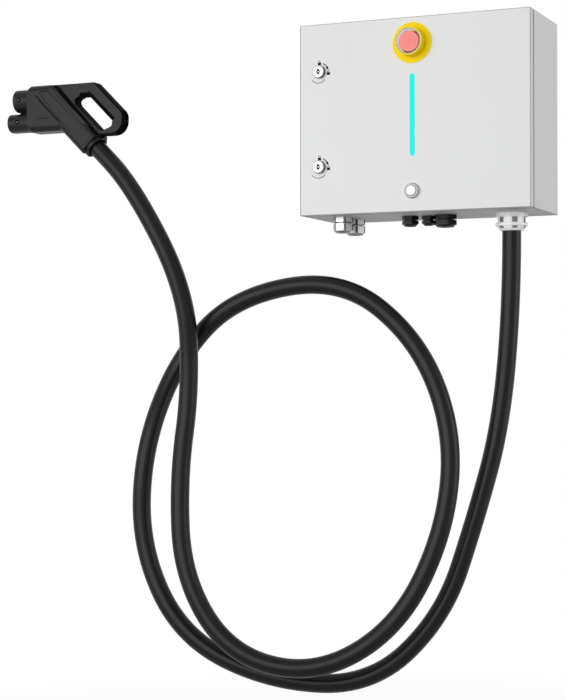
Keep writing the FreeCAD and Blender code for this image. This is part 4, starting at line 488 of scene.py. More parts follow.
def copper():
    """Bare copper bar with a light tarnish."""
    paint = material("copper")
    tarnish = paint.noise(0.02, detail=4.0)
    colour = paint.mix(tarnish, rgb(134, 88, 66), rgb(104, 66, 50))
    return paint.finish(Base_Color=colour, Metallic=1.0, Roughness=0.42 + 0.2 * tarnish)


print("metals ready")

# %% [markdown]
# ## Darker parts of the metals
# A polished bezel is bright on its face and dark on its side, where a real room is darker. This studio is
# white all round, so mirrors alone wouldn't show that. A function for each piece names its darker parts
# instead: painted reflections of a darker room, and painted shade in gaps and recesses, by how far they
# stand out of the door and how far they are from the piece's own axis.

# %% Darker parts of the metals
LOCK_ACROSS = -0.205
LOCK_UP = 0.0995
BEZEL_SIDE = 0.00795
KEY_RING_OUT = 0.0082
KEY_HALF_WIDE = 0.0037
KEY_HALF_TALL = 0.0056
BUTTON_UP = -0.157
BUTTON_CONE = 0.0066
BUTTON_LINE = 0.0119
NICKEL_ACROSS = -0.178
NICKEL_DEPTH = 0.1
NICKEL_APART = 0.035
NICKEL_CORNER = 0.0212
NICKEL_DOME = -0.2292
NICKEL_WAIST = 0.2115


def lock_shades(paint):
    """Painted reflection on the bezel's side, and painted shade on the ring round the key pin, in the key's
    recess.
    """
    x, y, z = paint.axes()
    ahead = -DOOR_FACE - y
    key = distance((x - LOCK_ACROSS) / KEY_HALF_WIDE, (abs(z) - LOCK_UP) / KEY_HALF_TALL)
    yield (ahead < BEZEL_SIDE) * (ahead > 0.0) * (key > 1.0), rgb(92, 93, 94)
    yield (ahead < KEY_RING_OUT) * (abs(key - 0.78) < 0.22), rgb(58, 58, 59)


def button_shades(paint):
    """The button's bezel: a painted dull reflection on its cone, and a painted shade line round the lens."""
    x, y, z = paint.axes()
    ahead = -DOOR_FACE - y
    yield (ahead < BUTTON_CONE) * (ahead > 0.0), rgb(190, 191, 192)
    yield distance(x, z - BUTTON_UP) < BUTTON_LINE, rgb(74, 75, 76)


def nickel_shades(paint):
    """The nickel glands: painted dark reflections at the hexagons' corners, a painted grey reflection on the
    dome, and painted shade in the waist between the hexagons.
    """
    x, y, z = paint.axes()
    out = distance(x - NICKEL_ACROSS, abs(y + NICKEL_DEPTH) - NICKEL_APART)
    yield out > NICKEL_CORNER, rgb(74, 74, 75)
    yield z < NICKEL_DOME, rgb(128, 128, 127)
    yield abs(z + NICKEL_WAIST) < 0.0009, rgb(60, 60, 61)


print("locks at", LOCK_ACROSS, "and", LOCK_UP, "above and below the middle")

# %% [markdown]
# ## Plastics and rubbers
# Plastic is told from paint by its gloss: a hard, even one on the stop and the glands, a dull one on the
# hand connector and a dusty one on the sheath. Each is one shader whose grain, gloss and colour vary a
# little, because a perfectly even surface looks like no material at all.

# %% Plastics and rubbers


def moulded(name, colour, rough, grain=0.0005, depth=0.00003, coat=0.0, shine=0.5, shades=None):
    """Moulded plastic: a fine spark-eroded grain, a slightly uneven gloss and perhaps the painted shade and
    light that a function names.
    """
    paint = material(name)
    skin = paint.noise(grain, detail=2.0)
    cloud = paint.noise(0.03, detail=2.0)
    shade = paint.darkened(paint.mix(cloud, colour, darker(colour, 0.88)), shades)
    return paint.finish(Base_Color=shade, Roughness=rough + 0.08 * cloud, Normal=paint.bump(skin, depth, 0.5),
                        Coat_Weight=coat, Coat_Roughness=0.08, Specular_IOR_Level=shine)


def sheath_rubber():
    """The cable's sheath: smooth drawn rubber with a dusty bloom."""
    paint = material("sheath_rubber")
    bloom = paint.noise(0.05, detail=4.0)
    skin = paint.noise(0.0011, detail=3.0)
    colour = paint.mix(bloom, rgb(10, 10, 11), rgb(20, 20, 21))
    return paint.finish(Base_Color=colour, Roughness=0.30 + 0.06 * bloom, Specular_IOR_Level=0.17,
                        Normal=paint.bump(skin, 0.00005, 0.4))


def foam():
    """Closed-cell sealing foam."""
    paint = material("foam")
    cells = paint.noise(0.0013, detail=3.0)
    colour = paint.mix(cells, rgb(48, 48, 49), rgb(70, 70, 71))
    return paint.finish(Base_Color=colour, Roughness=0.92, Normal=paint.bump(cells, 0.0002, 0.6))


print("plastics ready")

# %% [markdown]
# ## Darker parts of the plastics
# These colours are painted shade and light. The stop's head has a deep red rim, its own red deepened by
# painted shade, and a pale skirt behind it, painted light where the yellow collar and the clear ring light
# it. The button's lens has painted grey shade on its rim, and the output gland painted grey shade in its
# grooves, which follow the nut where it tapers.

# %% Darker parts of the plastics
STOP_UP = 0.146
HEAD_RIM = 0.0205
HEAD_SKIRT = -0.2140
LENS_RIM = 0.0098
GLAND_ACROSS = 0.1785
GLAND_DEPTH = 0.095
NUT_RADIUS = 0.0285
NUT_TAPER = 0.643
TAPER_START = -0.2305
GROOVE_DEEP = 0.0007
GROOVE_BOTTOM = -0.2368
GROOVE_TOP = -0.2100


def head_shades(paint):
    """The emergency stop's head: a deep red rim round its face, its own red with painted shade, and painted
    pale light on the skirt behind it.
    """
    x, y, z = paint.axes()
    yield ramp(distance(x, z - STOP_UP), HEAD_RIM, 0.0008), rgb(112, 34, 30)
    yield y > HEAD_SKIRT, rgb(206, 196, 196)


def lens_shades(paint):
    """The button's lens: painted shade makes its rounded rim greyer than its face."""
    x, y, z = paint.axes()
    yield ramp(distance(x, z - BUTTON_UP), LENS_RIM, 0.0004), rgb(176, 178, 179)


def gland_shades(paint):
    """The output gland: painted grey shade in the bottoms of its moulded grooves, also where its nut tapers.
    """
    x, y, z = paint.axes()
    nut = NUT_RADIUS - NUT_TAPER * (TAPER_START - z).most(0.0)
    deep = distance(x - GLAND_ACROSS, y + GLAND_DEPTH) < nut - GROOVE_DEEP
    yield deep * (z > GROOVE_BOTTOM) * (z < GROOVE_TOP), rgb(124, 125, 126)


print("output gland at", GLAND_ACROSS, "across and", GLAND_DEPTH, "out of the wall")

# %% [markdown]
# ## Clear ring and glowing lens
# The clear ring round the stop is painted milky white, a painted reflection of the white room, and a dull
# dark at its front rim, painted shade where the light leaves it. Real refraction is slow and noisy on so
# small a ring, so a faint painted glow stands in for it. The light bar's lens is frosted and lit from
# behind, a little dimmer towards its rim all round.

# %% Clear ring and glowing lens
RIM_DEEP = 0.0006
lens_low, lens_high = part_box("light_bar_lens")
LENS_HALF_WIDTH = (lens_high.x - lens_low.x) / 2
LENS_MIDDLE = (lens_low.z + lens_high.z) / 2
LENS_STRAIGHT = (lens_high.z - lens_low.z) / 2 - LENS_HALF_WIDTH


def clear_acrylic():
    """Clear acrylic: a painted milky reflection with a faint painted glow, and painted dull shade at its
    front rim.
    """
    paint = material("clear_acrylic")
    ring_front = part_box("estop_trim_ring")[0].y
    x, y, z = paint.axes()
    # Painted reflection and light on the ring's face, painted shade on its front rim.
    rim = y < ring_front + RIM_DEEP
    cloud = paint.noise(0.01, detail=2.0)
    colour = paint.mix(cloud, rgb(246, 246, 247), rgb(230, 232, 232))
    colour = paint.mix(rim, colour, rgb(112, 106, 78))
    glow = paint.mix(rim, WHITE, darker(WHITE, 0.09))
    return paint.finish(Base_Color=colour, Roughness=0.2 + 0.06 * cloud, Coat_Weight=0.6 - 0.5 * rim,
                        Coat_Roughness=0.05, Emission_Color=glow, Emission_Strength=0.46)


def lit_lens():
    """Frosted cyan lens, brightest along its middle line."""
    paint = material("lit_lens")
    x, y, z = paint.axes()
    frost = paint.noise(0.0012, detail=2.0)
    across = abs(x / LENS_HALF_WIDTH)
    along = (abs(z - LENS_MIDDLE) - LENS_STRAIGHT).most(0.0) / LENS_HALF_WIDTH
    rim = (across.most(along) ** 2.0).least(1.0)
    glow = paint.mix(rim, rgb(20, 250, 242), rgb(44, 226, 216))
    return paint.finish(Base_Color=rgb(8, 60, 58), Roughness=0.35, Normal=paint.bump(frost, 0.00004, 0.4),
                        Specular_IOR_Level=0.06, Emission_Color=glow, Emission_Strength=0.9)


print("lens", round(lens_high.z - lens_low.z, 4), "m long")

# %% [markdown]
# ## Circuit boards
# A board and its components are one solid, so their finish tells them apart by how far they stand from
# the wall: green with pale traces up to the board's skin, and dark in front of it.

# %% Circuit boards
TRACES_PER_METRE = 900.0
TRACE_SHARE = 0.38
PARTS_PER_METRE = 260
PARTS_EDGE = 0.643


def circuit_board(name, skin):
    """Green board with pale traces up to its skin, and dark components in front of that."""
    paint = material(name)
    x, y, z = paint.axes()
    traces = ((x + z) * TRACES_PER_METRE) % 1.0 > 1 - TRACE_SHARE
    board = paint.mix(0.5 * traces, rgb(22, 92, 48), rgb(60, 128, 70))
    cells = paint.node("ShaderNodeTexVoronoi", {}, {"Vector": paint.place(), "Scale": PARTS_PER_METRE})
    parts = paint.mix(cells > PARTS_EDGE, rgb(36, 37, 40), rgb(58, 60, 64))
    return paint.finish(Base_Color=paint.mix(y < skin, board, parts), Roughness=0.42)


print("traces", TRACES_PER_METRE, "to the metre")

# %% [markdown]
# ## Which finish goes where
# Every measured solid names the finish that it needs. The light bar's board is the one exception: it
# stands at another depth than the control board and is bare, so it gets a finish of its own, whose skin
# lies just in front of the whole board.

# %% Hand out the finishes
CONTROL_SKIN = -0.0262
IN_FRONT = 0.001

FINISHES = {
    "painted_steel": powder_coat(),
    "zinc_steel": zinc_plate("zinc_steel", rgb(140, 142, 144), 0.34),
    "lock_chrome": polished_metal("lock_chrome", rgb(142, 143, 143), 0.24, lock_shades),
    "gasket_foam": foam(),
    "yellow_plastic": moulded("yellow_plastic", rgb(254, 223, 6), 0.42, shine=0.08),
    "clear_plastic": clear_acrylic(),
    # The stop's head is red; the pale pink of its face is a painted glare over that red.
    "red_plastic": moulded("red_plastic", rgb(255, 148, 142), 0.40, shine=0.1, shades=head_shades),
    "device_black": moulded("device_black", rgb(44, 44, 46), 0.50),
    "device_chrome": polished_metal("device_chrome", rgb(124, 125, 126), 0.30, button_shades),
    "button_lens": moulded("button_lens", rgb(248, 249, 249), 0.22, coat=0.5, shades=lens_shades),
    "light_lens": lit_lens(),
    "circuit_board": circuit_board("circuit_board", CONTROL_SKIN),
    "nickel_brass": polished_metal("nickel_brass", rgb(176, 175, 173), 0.26, nickel_shades),
    "gland_white": moulded("gland_white", rgb(254, 254, 254), 0.34, coat=0.6, shades=gland_shades),
    "gland_black": moulded("gland_black", rgb(18, 18, 19), 0.34, shine=0.2),
    "seal_rubber": moulded("seal_rubber", rgb(40, 40, 41), 0.72, depth=0.00006),
    "cable_sheath": sheath_rubber(),
    "connector_black": moulded("connector_black", rgb(26, 26, 27), 0.34,
                               grain=0.0007, depth=0.00005, shine=0.16),
    "converter_case": zinc_plate("converter_case", rgb(132, 135, 138), 0.42),
    "contactor_case": moulded("contactor_case", rgb(58, 59, 62), 0.5),
    "fuse_ceramic": moulded("fuse_ceramic", rgb(232, 228, 218), 0.3, coat=0.4),
    "copper": copper(),
    "terminal_grey": moulded("terminal_grey", rgb(150, 154, 156), 0.5),
}
slot_of = {row["node"]: row["material_slot"] for row in frame["record"]["subparts"]}
for name, solid in nodes.items():
    for holder in solid.material_slots:
        holder.material = FINISHES[slot_of[name]]
bar_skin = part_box("light_bar_board")[0].y - IN_FRONT
nodes["light_bar_board"].material_slots[0].material = circuit_board("light_bar_board", bar_skin)
cable.data.materials.append(FINISHES["cable_sheath"])
print("finishes", len(FINISHES))

# %% [markdown]
# ## Outlines and bevels
# The small pieces are drawn as they would be in a workshop: a plate is an outline that is pushed out to
# its thickness, a turned piece is half a section that is spun round. Both are drawn flat, with x across,
# y up and z out of the paper. A rounded corner is a bevel of the outline's corner, so the outline itself
# needs only its few sharp corners.

# %% Outlines and bevels


def in_mm(points):
    """Points in metres, from points in millimetres."""
    return [tuple(value * MM for value in point) for point in points]


def new_verts(made):
    """The corners among what an operator made."""
    return [item for item in made if isinstance(item, bmesh.types.BMVert)]


def round_off(bm, geom, radius, affect="EDGES", segments=4):
    """Round edges, or the corners of an outline, with Blender's bevel."""
    return bmesh.ops.bevel(bm, geom=geom, offset=radius, affect=affect, segments=segments, profile=0.5,
                           material=-1)


def round_corners(bm, corners, radii):
    """Round each corner of an outline to its own radius."""
    for corner, radius in zip(corners, radii):
        if radius:
            first, second = [edge.other_vert(corner).co - corner.co for edge in corner.link_edges]
            reach = radius / math.tan(first.angle(second) / 2)
            round_off(bm, [corner], reach, "VERTICES", 8)


def outline(bm, corners):
    """A closed ring of edges through (across, up, corner radius) corners."""
    ring = [bm.verts.new((across, up, 0)) for across, up, radius in corners]
    for first, second in zip(ring, ring[1:] + ring[:1]):
        bm.edges.new((first, second))
    round_corners(bm, ring, [radius for across, up, radius in corners])


print("outlines ready")

# %% [markdown]
# ## Plates, arcs and turned pieces
# Three shapes are enough for every small piece: a flat plate, perhaps with a hole, a flat arc, which is a
# short edge swept round, and a turned piece, which is a section spun full circle. The plate's faces come
# from a fill whose triangles are merged again, so that its rim can be bevelled in one go.

# %% Plates, arcs and turned pieces
SAME = 1e-6
SHARP = 0.5


def thicken(bm, thick):
    """Push flat faces out to a plate."""
    pushed = bmesh.ops.extrude_face_region(bm, geom=bm.faces[:])["geom"]
    bmesh.ops.translate(bm, verts=new_verts(pushed), vec=(0, 0, thick))
    bmesh.ops.recalc_face_normals(bm, faces=bm.faces)
    return bm


def front_rim(bm, level):
    """The edges between the flat face at a level and the walls, sharper than half a radian."""
    return [edge for edge in bm.edges if all(abs(corner.co.z - level) < SAME for corner in edge.verts)
            and edge.is_manifold and edge.calc_face_angle() > SHARP]


def plate(corners, thick, rim=0.0, hole=None):
    """A plate with rounded corners, a rounded front rim, and perhaps a hole."""
    bm = bmesh.new()
    outline(bm, corners)
    if hole:
        outline(bm, hole)
    bmesh.ops.triangle_fill(bm, use_beauty=True, edges=bm.edges[:])
    bmesh.ops.dissolve_limit(bm, angle_limit=0.01, verts=bm.verts[:], edges=bm.edges[:])
    thicken(bm, thick)
    if rim:
        round_off(bm, front_rim(bm, thick), rim, segments=3)
    return bm


def arc_band(inner, outer, start, sweep, thick):
    """A flat arc about the origin, from two radii, a first angle and a sweep in degrees."""
    bm = bmesh.new()
    ends = [bm.verts.new((radius, 0, 0)) for radius in (inner, outer)]
    bm.edges.new(ends)
    bmesh.ops.rotate(bm, verts=ends, matrix=Matrix.Rotation(math.radians(start), 3, "Z"))
    bmesh.ops.spin(bm, geom=bm.verts[:] + bm.edges[:], axis=(0, 0, 1), angle=math.radians(sweep), steps=24)
    return thicken(bm, thick)


def turned(section, turns=72):
    """A round piece about z, from (radius, height, corner radius) points, closed or ending on the axis."""
    bm = bmesh.new()
    points = [bm.verts.new((radius, 0, height)) for radius, height, rounding in section]
    for first, second in zip(points, points[1:]):
        bm.edges.new((first, second))
    if section[0][0] > 0:
        bm.edges.new((points[-1], points[0]))
    round_corners(bm, points, [rounding for radius, height, rounding in section])
    bmesh.ops.spin(bm, geom=bm.verts[:] + bm.edges[:], axis=(0, 0, 1), angle=math.tau, steps=turns,
                   use_merge=True)
    bmesh.ops.remove_doubles(bm, verts=bm.verts[:], dist=SAME)
    return bm


print("shapes ready")

# %% [markdown]
# ## From a shape to a finished piece
# A flat shape is shifted in its plane, joined with others and stood up so that its z points out of the
# door. Its place goes into the mesh and the object stays at the origin, as the measured solids do, so
# that patterns fit. Edges flatter than forty degrees are shaded smooth, and the flat faces keep their
# own direction through weighted normals.

# %% From a shape to a finished piece
CREASE = math.radians(40)
STAND_UP = Matrix.Rotation(math.radians(90), 4, "X")


def moved(bm, across=0.0, up=0.0, out=0.0, turn=0.0):
    """Turn a flat shape in its own plane by degrees, then shift it."""
    place = Matrix.Translation((across, up, out)) @ Matrix.Rotation(math.radians(turn), 4, "Z")
    bmesh.ops.transform(bm, matrix=place, verts=bm.verts[:])
    return bm


def joined(*shapes):
    """Several shapes as one, which uses them up."""
    whole = bmesh.new()
    for shape in shapes:
        mesh = bpy.data.meshes.new("shape")
        shape.to_mesh(mesh)
        shape.free()
        whole.from_mesh(mesh)
        bpy.data.meshes.remove(mesh)
    return whole


def stood(bm, across, ahead, up):
    """Stand a shape up at a place, so that its z points out of the door."""
    place = Matrix.Translation((across, -ahead, up)) @ STAND_UP
    bmesh.ops.transform(bm, matrix=place, verts=bm.verts[:])
    return bm


def piece(name, bm, body, slot, finish=None, second=None, stands_for=()):
    """Make a shape a finished piece that rides on a body, and perhaps stands for CAD nodes."""
    bmesh.ops.remove_doubles(bm, verts=bm.verts[:], dist=SAME)
    bmesh.ops.recalc_face_normals(bm, faces=bm.faces[:])
    for face in bm.faces:
        face.smooth = True
    for edge in bm.edges:
        edge.smooth = edge.is_manifold and edge.calc_face_angle() < CREASE
    loose = sum(not edge.is_manifold for edge in bm.edges)
    mesh = bpy.data.meshes.new(name)
    bm.to_mesh(mesh)
    bm.free()
    mesh.materials.append(finish or FINISHES[slot])
    if second:
        mesh.materials.append(second)
    made = bpy.data.objects.new(name, mesh)
    scene.collection.objects.link(made)
    weights = made.modifiers.new("face_weights", "WEIGHTED_NORMAL")
    weights.keep_sharp = True
    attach(made, body)
    if stands_for:
        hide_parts(*stands_for)
    print(name, len(mesh.polygons), "faces,", loose, "open edges")
    return made


print("edges up to", round(math.degrees(CREASE)), "degrees are shaded smooth")

# %% [markdown]
# ## Signs round the locks
# Each lock has printed signs: an open padlock above it, a closed one to its right, an arrow that leads
# from one to the other, and a thin arc below. Ink is a skin of no height, but paint on a mesh would need
# an image. So the signs are plates a fifth of a millimetre thick, sunk a little into the door, which are
# too thin to throw a visible shadow.

# %% Lock signs, drawn in millimetres from the lock's axis
INK_THICK = 0.00018
INK_SUNK = 0.00005


def padlock(across, up, opened):
    """A padlock sign round the middle of its body."""
    corners = [(-3.6, -2.7, 0.6), (3.6, -2.7, 0.6), (3.6, 2.7, 0.6), (-3.6, 2.7, 0.6)]
    body_shape = plate(in_mm(corners), INK_THICK)
    bow = moved(arc_band(1.4 * MM, 2.5 * MM, 0, 180, INK_THICK), 0, (4.4 if opened else 3.6) * MM)
    legs = []
    for side in (-1, 1):
        foot = 4.0 if opened and side > 0 else 2.4
        leg = plate(in_mm([(-0.55, foot, 0), (0.55, foot, 0), (0.55, 4.45, 0), (-0.55, 4.45, 0)]), INK_THICK)
        legs.append(moved(leg, side * 1.95 * MM))
    return moved(joined(body_shape, bow, *legs), across * MM, up * MM)


def lock_signs():
    """All the signs of one lock, round its axis."""
    tail = arc_band(18.3 * MM, 20.2 * MM, 66, -34, INK_THICK)
    head = plate(in_mm([(16.4, 0, 0), (22.2, 0, 0), (18.9, -8.6, 0)]), INK_THICK)
    arrow = joined(tail, moved(head, turn=32))
    foot_arc = moved(arc_band(18.9 * MM, 20.1 * MM, 220, 101, INK_THICK), -2.2 * MM, -3.3 * MM)
    return joined(padlock(0, 17.4, opened=True), padlock(20.2, -4.2, opened=False), arrow, foot_arc)


ink = moulded("printed_ink", rgb(8, 8, 9), 0.6, grain=0.0004, shine=0.04)
for level, height in (("upper", LOCK_UP), ("lower", -LOCK_UP)):
    signs = stood(lock_signs(), LOCK_ACROSS, DOOR_FACE - INK_SUNK, height)
    piece(f"lock_signs_{level}", signs, "door", "device_black", ink)

# %% [markdown]
# ## Connector block
# The hand connector is a block with two noses, a slanted grip that takes the cable, and a loop handle,
# moulded as one hollow form and split down its middle. Here it is three solids that sink into each
# other, all drawn from the point where the cable enters. The block is a plate with deep rounded edges.
# Its front is pushed out in six small steps, each a little lower, because a bevel would round it on all
# four sides and on the real one only the top and the bottom curve back. A short web joins the noses, in the
# darker second finish, painted shade between them.

# %% Connector block
ENTRY_X = -0.720
ENTRY_AHEAD = 0.226
ENTRY_Z = -0.035
NEAR = 1e-5
BLOCK_FRONT = -0.162
BLOCK_LOW = 0.039
BLOCK_HIGH = 0.142
BLOCK_SLANT = 0.0385
BLOCK_THICK = 0.060
BLOCK_ROUND = 0.015
NOSE_ROUND = 0.009
NOSE_STEPS = 6
WEB_THICK = 0.034


def at_entry(bm, middle=0.0):
    """Put a shape that is drawn from the cable entry in its place, a plate round its middle plane."""
    return stood(bm, ENTRY_X, ENTRY_AHEAD + middle, ENTRY_Z)


def runs_across(edge):
    """Whether an edge runs along x."""
    span = edge.verts[1].co - edge.verts[0].co
    return abs(span.x) > 0.01 and Vector((0, span.y, span.z)).length < NEAR


def below_x(items, limit):
    """The edges or faces that lie up to a limit across."""
    return [item for item in items if all(corner.co.x < limit + NEAR for corner in item.verts)]


def connector_block():
    """The block: deep rounded long edges, and a front whose top and bottom curve back."""
    start = BLOCK_FRONT + NOSE_ROUND
    bm = plate([(start, BLOCK_LOW, 0), (BLOCK_SLANT - BLOCK_LOW, BLOCK_LOW, 0),
                (BLOCK_SLANT - BLOCK_HIGH, BLOCK_HIGH, 0), (start, BLOCK_HIGH, 0)], BLOCK_THICK)
    round_off(bm, [edge for edge in bm.edges if runs_across(edge)], BLOCK_ROUND, segments=8)
    middle = Vector((0, (BLOCK_LOW + BLOCK_HIGH) / 2, BLOCK_THICK / 2))
    for step in range(1, NOSE_STEPS + 1):
        front = below_x(bm.faces, min(corner.co.x for corner in bm.verts))
        pushed = bmesh.ops.extrude_face_region(bm, geom=front)["geom"]
        bmesh.ops.delete(bm, geom=front, context="FACES")
        ring = new_verts(pushed)
        angle = math.radians(90 * step / NOSE_STEPS)
        reach = start - NOSE_ROUND * math.sin(angle)
        tall = (BLOCK_HIGH - BLOCK_LOW) / 2 - NOSE_ROUND * (1 - math.cos(angle))
        was = max(abs(corner.co.y - middle.y) for corner in ring)
        bmesh.ops.scale(bm, verts=ring, vec=(1, tall / was, 1), space=Matrix.Translation(-middle))
        bmesh.ops.translate(bm, verts=ring, vec=(reach - ring[0].co.x, 0, 0))
    round_off(bm, below_x(bm.edges, BLOCK_FRONT), 0.0008, segments=2)
    web_corners = in_mm([(-186, 78, 3), (-150, 78, 0), (-150, 92, 0), (-186, 92, 3)])
    web = moved(plate(web_corners, WEB_THICK), out=(BLOCK_THICK - WEB_THICK) / 2)
    # Painted shade: the web between the noses takes the darker second finish.
    for face in web.faces:
        face.material_index = 1
    return moved(joined(bm, web), out=-BLOCK_THICK / 2)


block = connector_block()
print("block", len(block.faces), "faces")

# %% [markdown]
# ## Connector grip
# The grip is a second plate with deep rounded edges. It widens on its lower side towards a round collar,
# where the cable comes in. It is drawn lying down, along x, and turned to its slant at the end, because
# the widths are easier to read that way. Its lower side, which faces up and to the right once turned, has
# the darker, rougher second finish: painted shade, where no lamp reaches.

# %% Connector grip
GRIP_START = 0.008
GRIP_LONG = 0.170
GRIP_WIDE = 0.0545
GRIP_WIDER_AT = 0.1655
GRIP_WIDER = 0.0340
GRIP_THICK = 0.062
GRIP_ROUND = 0.014
COLLAR_BORE = 0.0230
COLLAR_RADIUS = 0.02775
COLLAR_LONG = 0.016
SLANT = 135


def connector_grip():
    """The slanted grip with its round collar, drawn along x and then turned to its slant."""
    half = GRIP_WIDE / 2
    bm = plate([(GRIP_START, -half, 0), (GRIP_WIDER_AT, -GRIP_WIDER, 0), (GRIP_LONG, half, 0),
                (GRIP_START, half, 0)], GRIP_THICK)
    round_off(bm, [edge for edge in bm.edges if edge.calc_length() > 0.1], GRIP_ROUND, segments=8)
    round_off(bm, below_x(bm.edges, GRIP_START), 0.0015, segments=3)
    bm.normal_update()
    # Painted shade: faces that face up and to the right once turned get the darker finish.
    for face in bm.faces:
        if face.normal.y < -0.7:
            face.material_index = 1
    moved(bm, out=-GRIP_THICK / 2)
    collar = turned([(COLLAR_BORE, 0, 0.0008), (COLLAR_RADIUS, 0, 0.0015),
                     (COLLAR_RADIUS, COLLAR_LONG, 0.001), (COLLAR_BORE, COLLAR_LONG, 0)])
    bmesh.ops.rotate(collar, verts=collar.verts[:], matrix=Matrix.Rotation(math.radians(90), 3, "Y"))
    return moved(joined(bm, collar), turn=SLANT)


grip = connector_grip()
print("grip", len(grip.faces), "faces")

# %% [markdown]
# ## Where the loop's edges are
# The loop handle gets three roundings, a recess and a second, darker finish of painted shade, each on its
# own edges or faces. An editor's user would pick them by hand. A script needs a test for each, which also
# holds after a change.
# The tests use two slanted measures, since the loop lies along the grip: out, which is x + y, grows away
# from the grip, and along, which is x - y, grows towards the round end.

# %% Where the loop's edges are
LOOP_OUTER = 0.1385
LOOP_TOP = 0.1215
LOOP_INNER = 0.030
SLOT_INNER = 0.050
SLOT_OUTER = 0.0965
SLOT_TOP = 0.1120
SLOT_LOW = 0.0335
SLOT_END = 0.0045
END_ACROSS = 0.050
END_ALONG = -0.010


def slanted(item):
    """How far out and how far along an edge or a face lies, and its middle."""
    middle = sum((corner.co for corner in item.verts), Vector()) / len(item.verts)
    return middle.x + middle.y, middle.x - middle.y, middle


def in_slot(edge):
    """Whether an edge lies on the hand slot."""
    out, along, middle = slanted(edge)
    across_slot = SLOT_INNER - 0.002 < out < SLOT_OUTER + 0.002
    return across_slot and middle.y < SLOT_TOP + 0.001 and along < SLOT_END + 0.001


def over_hand(edge):
    """Whether an edge lies on the slot's upper or outer side."""
    out, along, middle = slanted(edge)
    return out > SLOT_OUTER - 0.001 or middle.y > SLOT_TOP - 0.0005


def round_end(face):
    """Whether a face lies on the loop's round end."""
    out, along, middle = slanted(face)
    return middle.x > END_ACROSS and along > END_ALONG


def gets_painted_shade(face):
    """Whether a face of the rim gets the painted shade of the darker second finish."""
    out, along, middle = slanted(face)
    return out > LOOP_INNER and (out > LOOP_OUTER or round_end(face) or middle.y < LOOP_TOP)


print("slot", round((SLOT_OUTER - SLOT_INNER) / math.sqrt(2) / MM, 1), "mm wide")

# %% [markdown]
# ## Loop handle
# The loop is a plate with a hand slot. The slot's upper and outer sides, which fingers pull on, have a
# deep rounding, and every other rim a small one. A shallow recess runs round the loop's end, pushed in
# by an inset that also leaves the recess a narrow border.

# %% Loop handle
LOOP_THICK = 0.030
HAND_ROUND = 0.0110
RIM_ROUND = 0.0032
SLOT_ROUND = 0.0010
RECESS_BORDER = 0.0012
RECESS = 0.005


def connector_loop():
    """The loop handle: a hand slot with a deep rounded rim, and a recess round its end."""
    ring = in_mm([(0, 25.2, 0), (71.2, 25.2, 30), (71.2, 71.6, 20), (0.8, 142, 8), (-123.5, 142, 0)])
    slot = [(SLOT_INNER - SLOT_TOP, SLOT_TOP, 0.012), (SLOT_OUTER - SLOT_TOP, SLOT_TOP, 0.003),
            ((SLOT_OUTER + SLOT_END) / 2, (SLOT_OUTER - SLOT_END) / 2, 0.009),
            (SLOT_INNER - SLOT_LOW, SLOT_LOW, 0.010)]
    bm = plate(ring, LOOP_THICK, hole=slot)
    for level in (0, LOOP_THICK):
        rim = front_rim(bm, level)
        inner = [edge for edge in rim if in_slot(edge)]
        outer = [edge for edge in rim if edge not in inner]
        round_off(bm, [edge for edge in inner if over_hand(edge)], HAND_ROUND, segments=7)
        round_off(bm, [edge for edge in outer if edge.is_valid], RIM_ROUND, segments=4)
        left = [edge for edge in front_rim(bm, level) if in_slot(edge) and not over_hand(edge)]
        round_off(bm, left, SLOT_ROUND, segments=2)
    bm.normal_update()
    end_walls = [face for face in bm.faces if abs(face.normal.z) < 0.1 and round_end(face)]
    bmesh.ops.inset_region(bm, faces=end_walls, thickness=RECESS_BORDER, depth=-RECESS,
                           use_even_offset=False)
    bm.normal_update()
    # Painted shade: rims that turn from the lamps, in the slot, round the end and on the outer side, get the
    # darker finish.
    for face in bm.faces:
        if abs(face.normal.z) < 0.995 and gets_painted_shade(face):
            face.material_index = 1
    return moved(bm, out=-LOOP_THICK / 2)


loop = connector_loop()
print("loop", len(loop.faces), "faces")

# %% [markdown]
# ## Connector housing
# Block, grip and loop become one piece with two finishes, the second a darker, rougher black that paints
# shade where no lamp reaches. They are only put together, not cut where they meet, because the parts that
# sink in are never seen and a cut would spoil the bevels. The piece stands for the two measured shells,
# whose form it follows, and the cable carries it.

# %% Connector housing
SHELLS = ("connector_shell_left", "connector_shell_right")
# Painted shade: a near-black, rough finish for faces that turn away from the lamps.
rough_painted_shade = moulded("rough_painted_shade", rgb(11, 11, 12), 0.75, grain=0.0009, depth=0.0001, shine=0.04)
housing = joined(block, grip, loop)
on_cable = [piece("connector_housing", at_entry(housing), "enclosure", "connector_black", second=rough_painted_shade,
                  stands_for=SHELLS)]

# %% [markdown]
# ## Panel, groove and small marks
# The connector's side has a raised panel inside a thin groove, with a crease along the handle. The panel,
# groove and crease are each a plate that starts inside the housing and stands less than half a millimetre
# over the one below it, so only its rim shows. The groove and the crease are black as painted shade, and so
# is a small round boss, as painted shade in its recess; a thin dark mark lies on the block.

# %% Panel, groove and small marks, drawn in millimetres from the cable entry
PANEL_BACK = 0.024


def on_connector(name, *shapes, slot="connector_black", finish=None):
    """Make shapes one finished piece that the cable carries."""
    on_cable.append(piece(name, joined(*shapes), "enclosure", slot, finish))


def raised(corners, height, rim):
    """A plate that rises from inside the grip to a height over the grip's middle plane."""
    return at_entry(plate(in_mm(corners), height * MM - PANEL_BACK, rim * MM), PANEL_BACK)


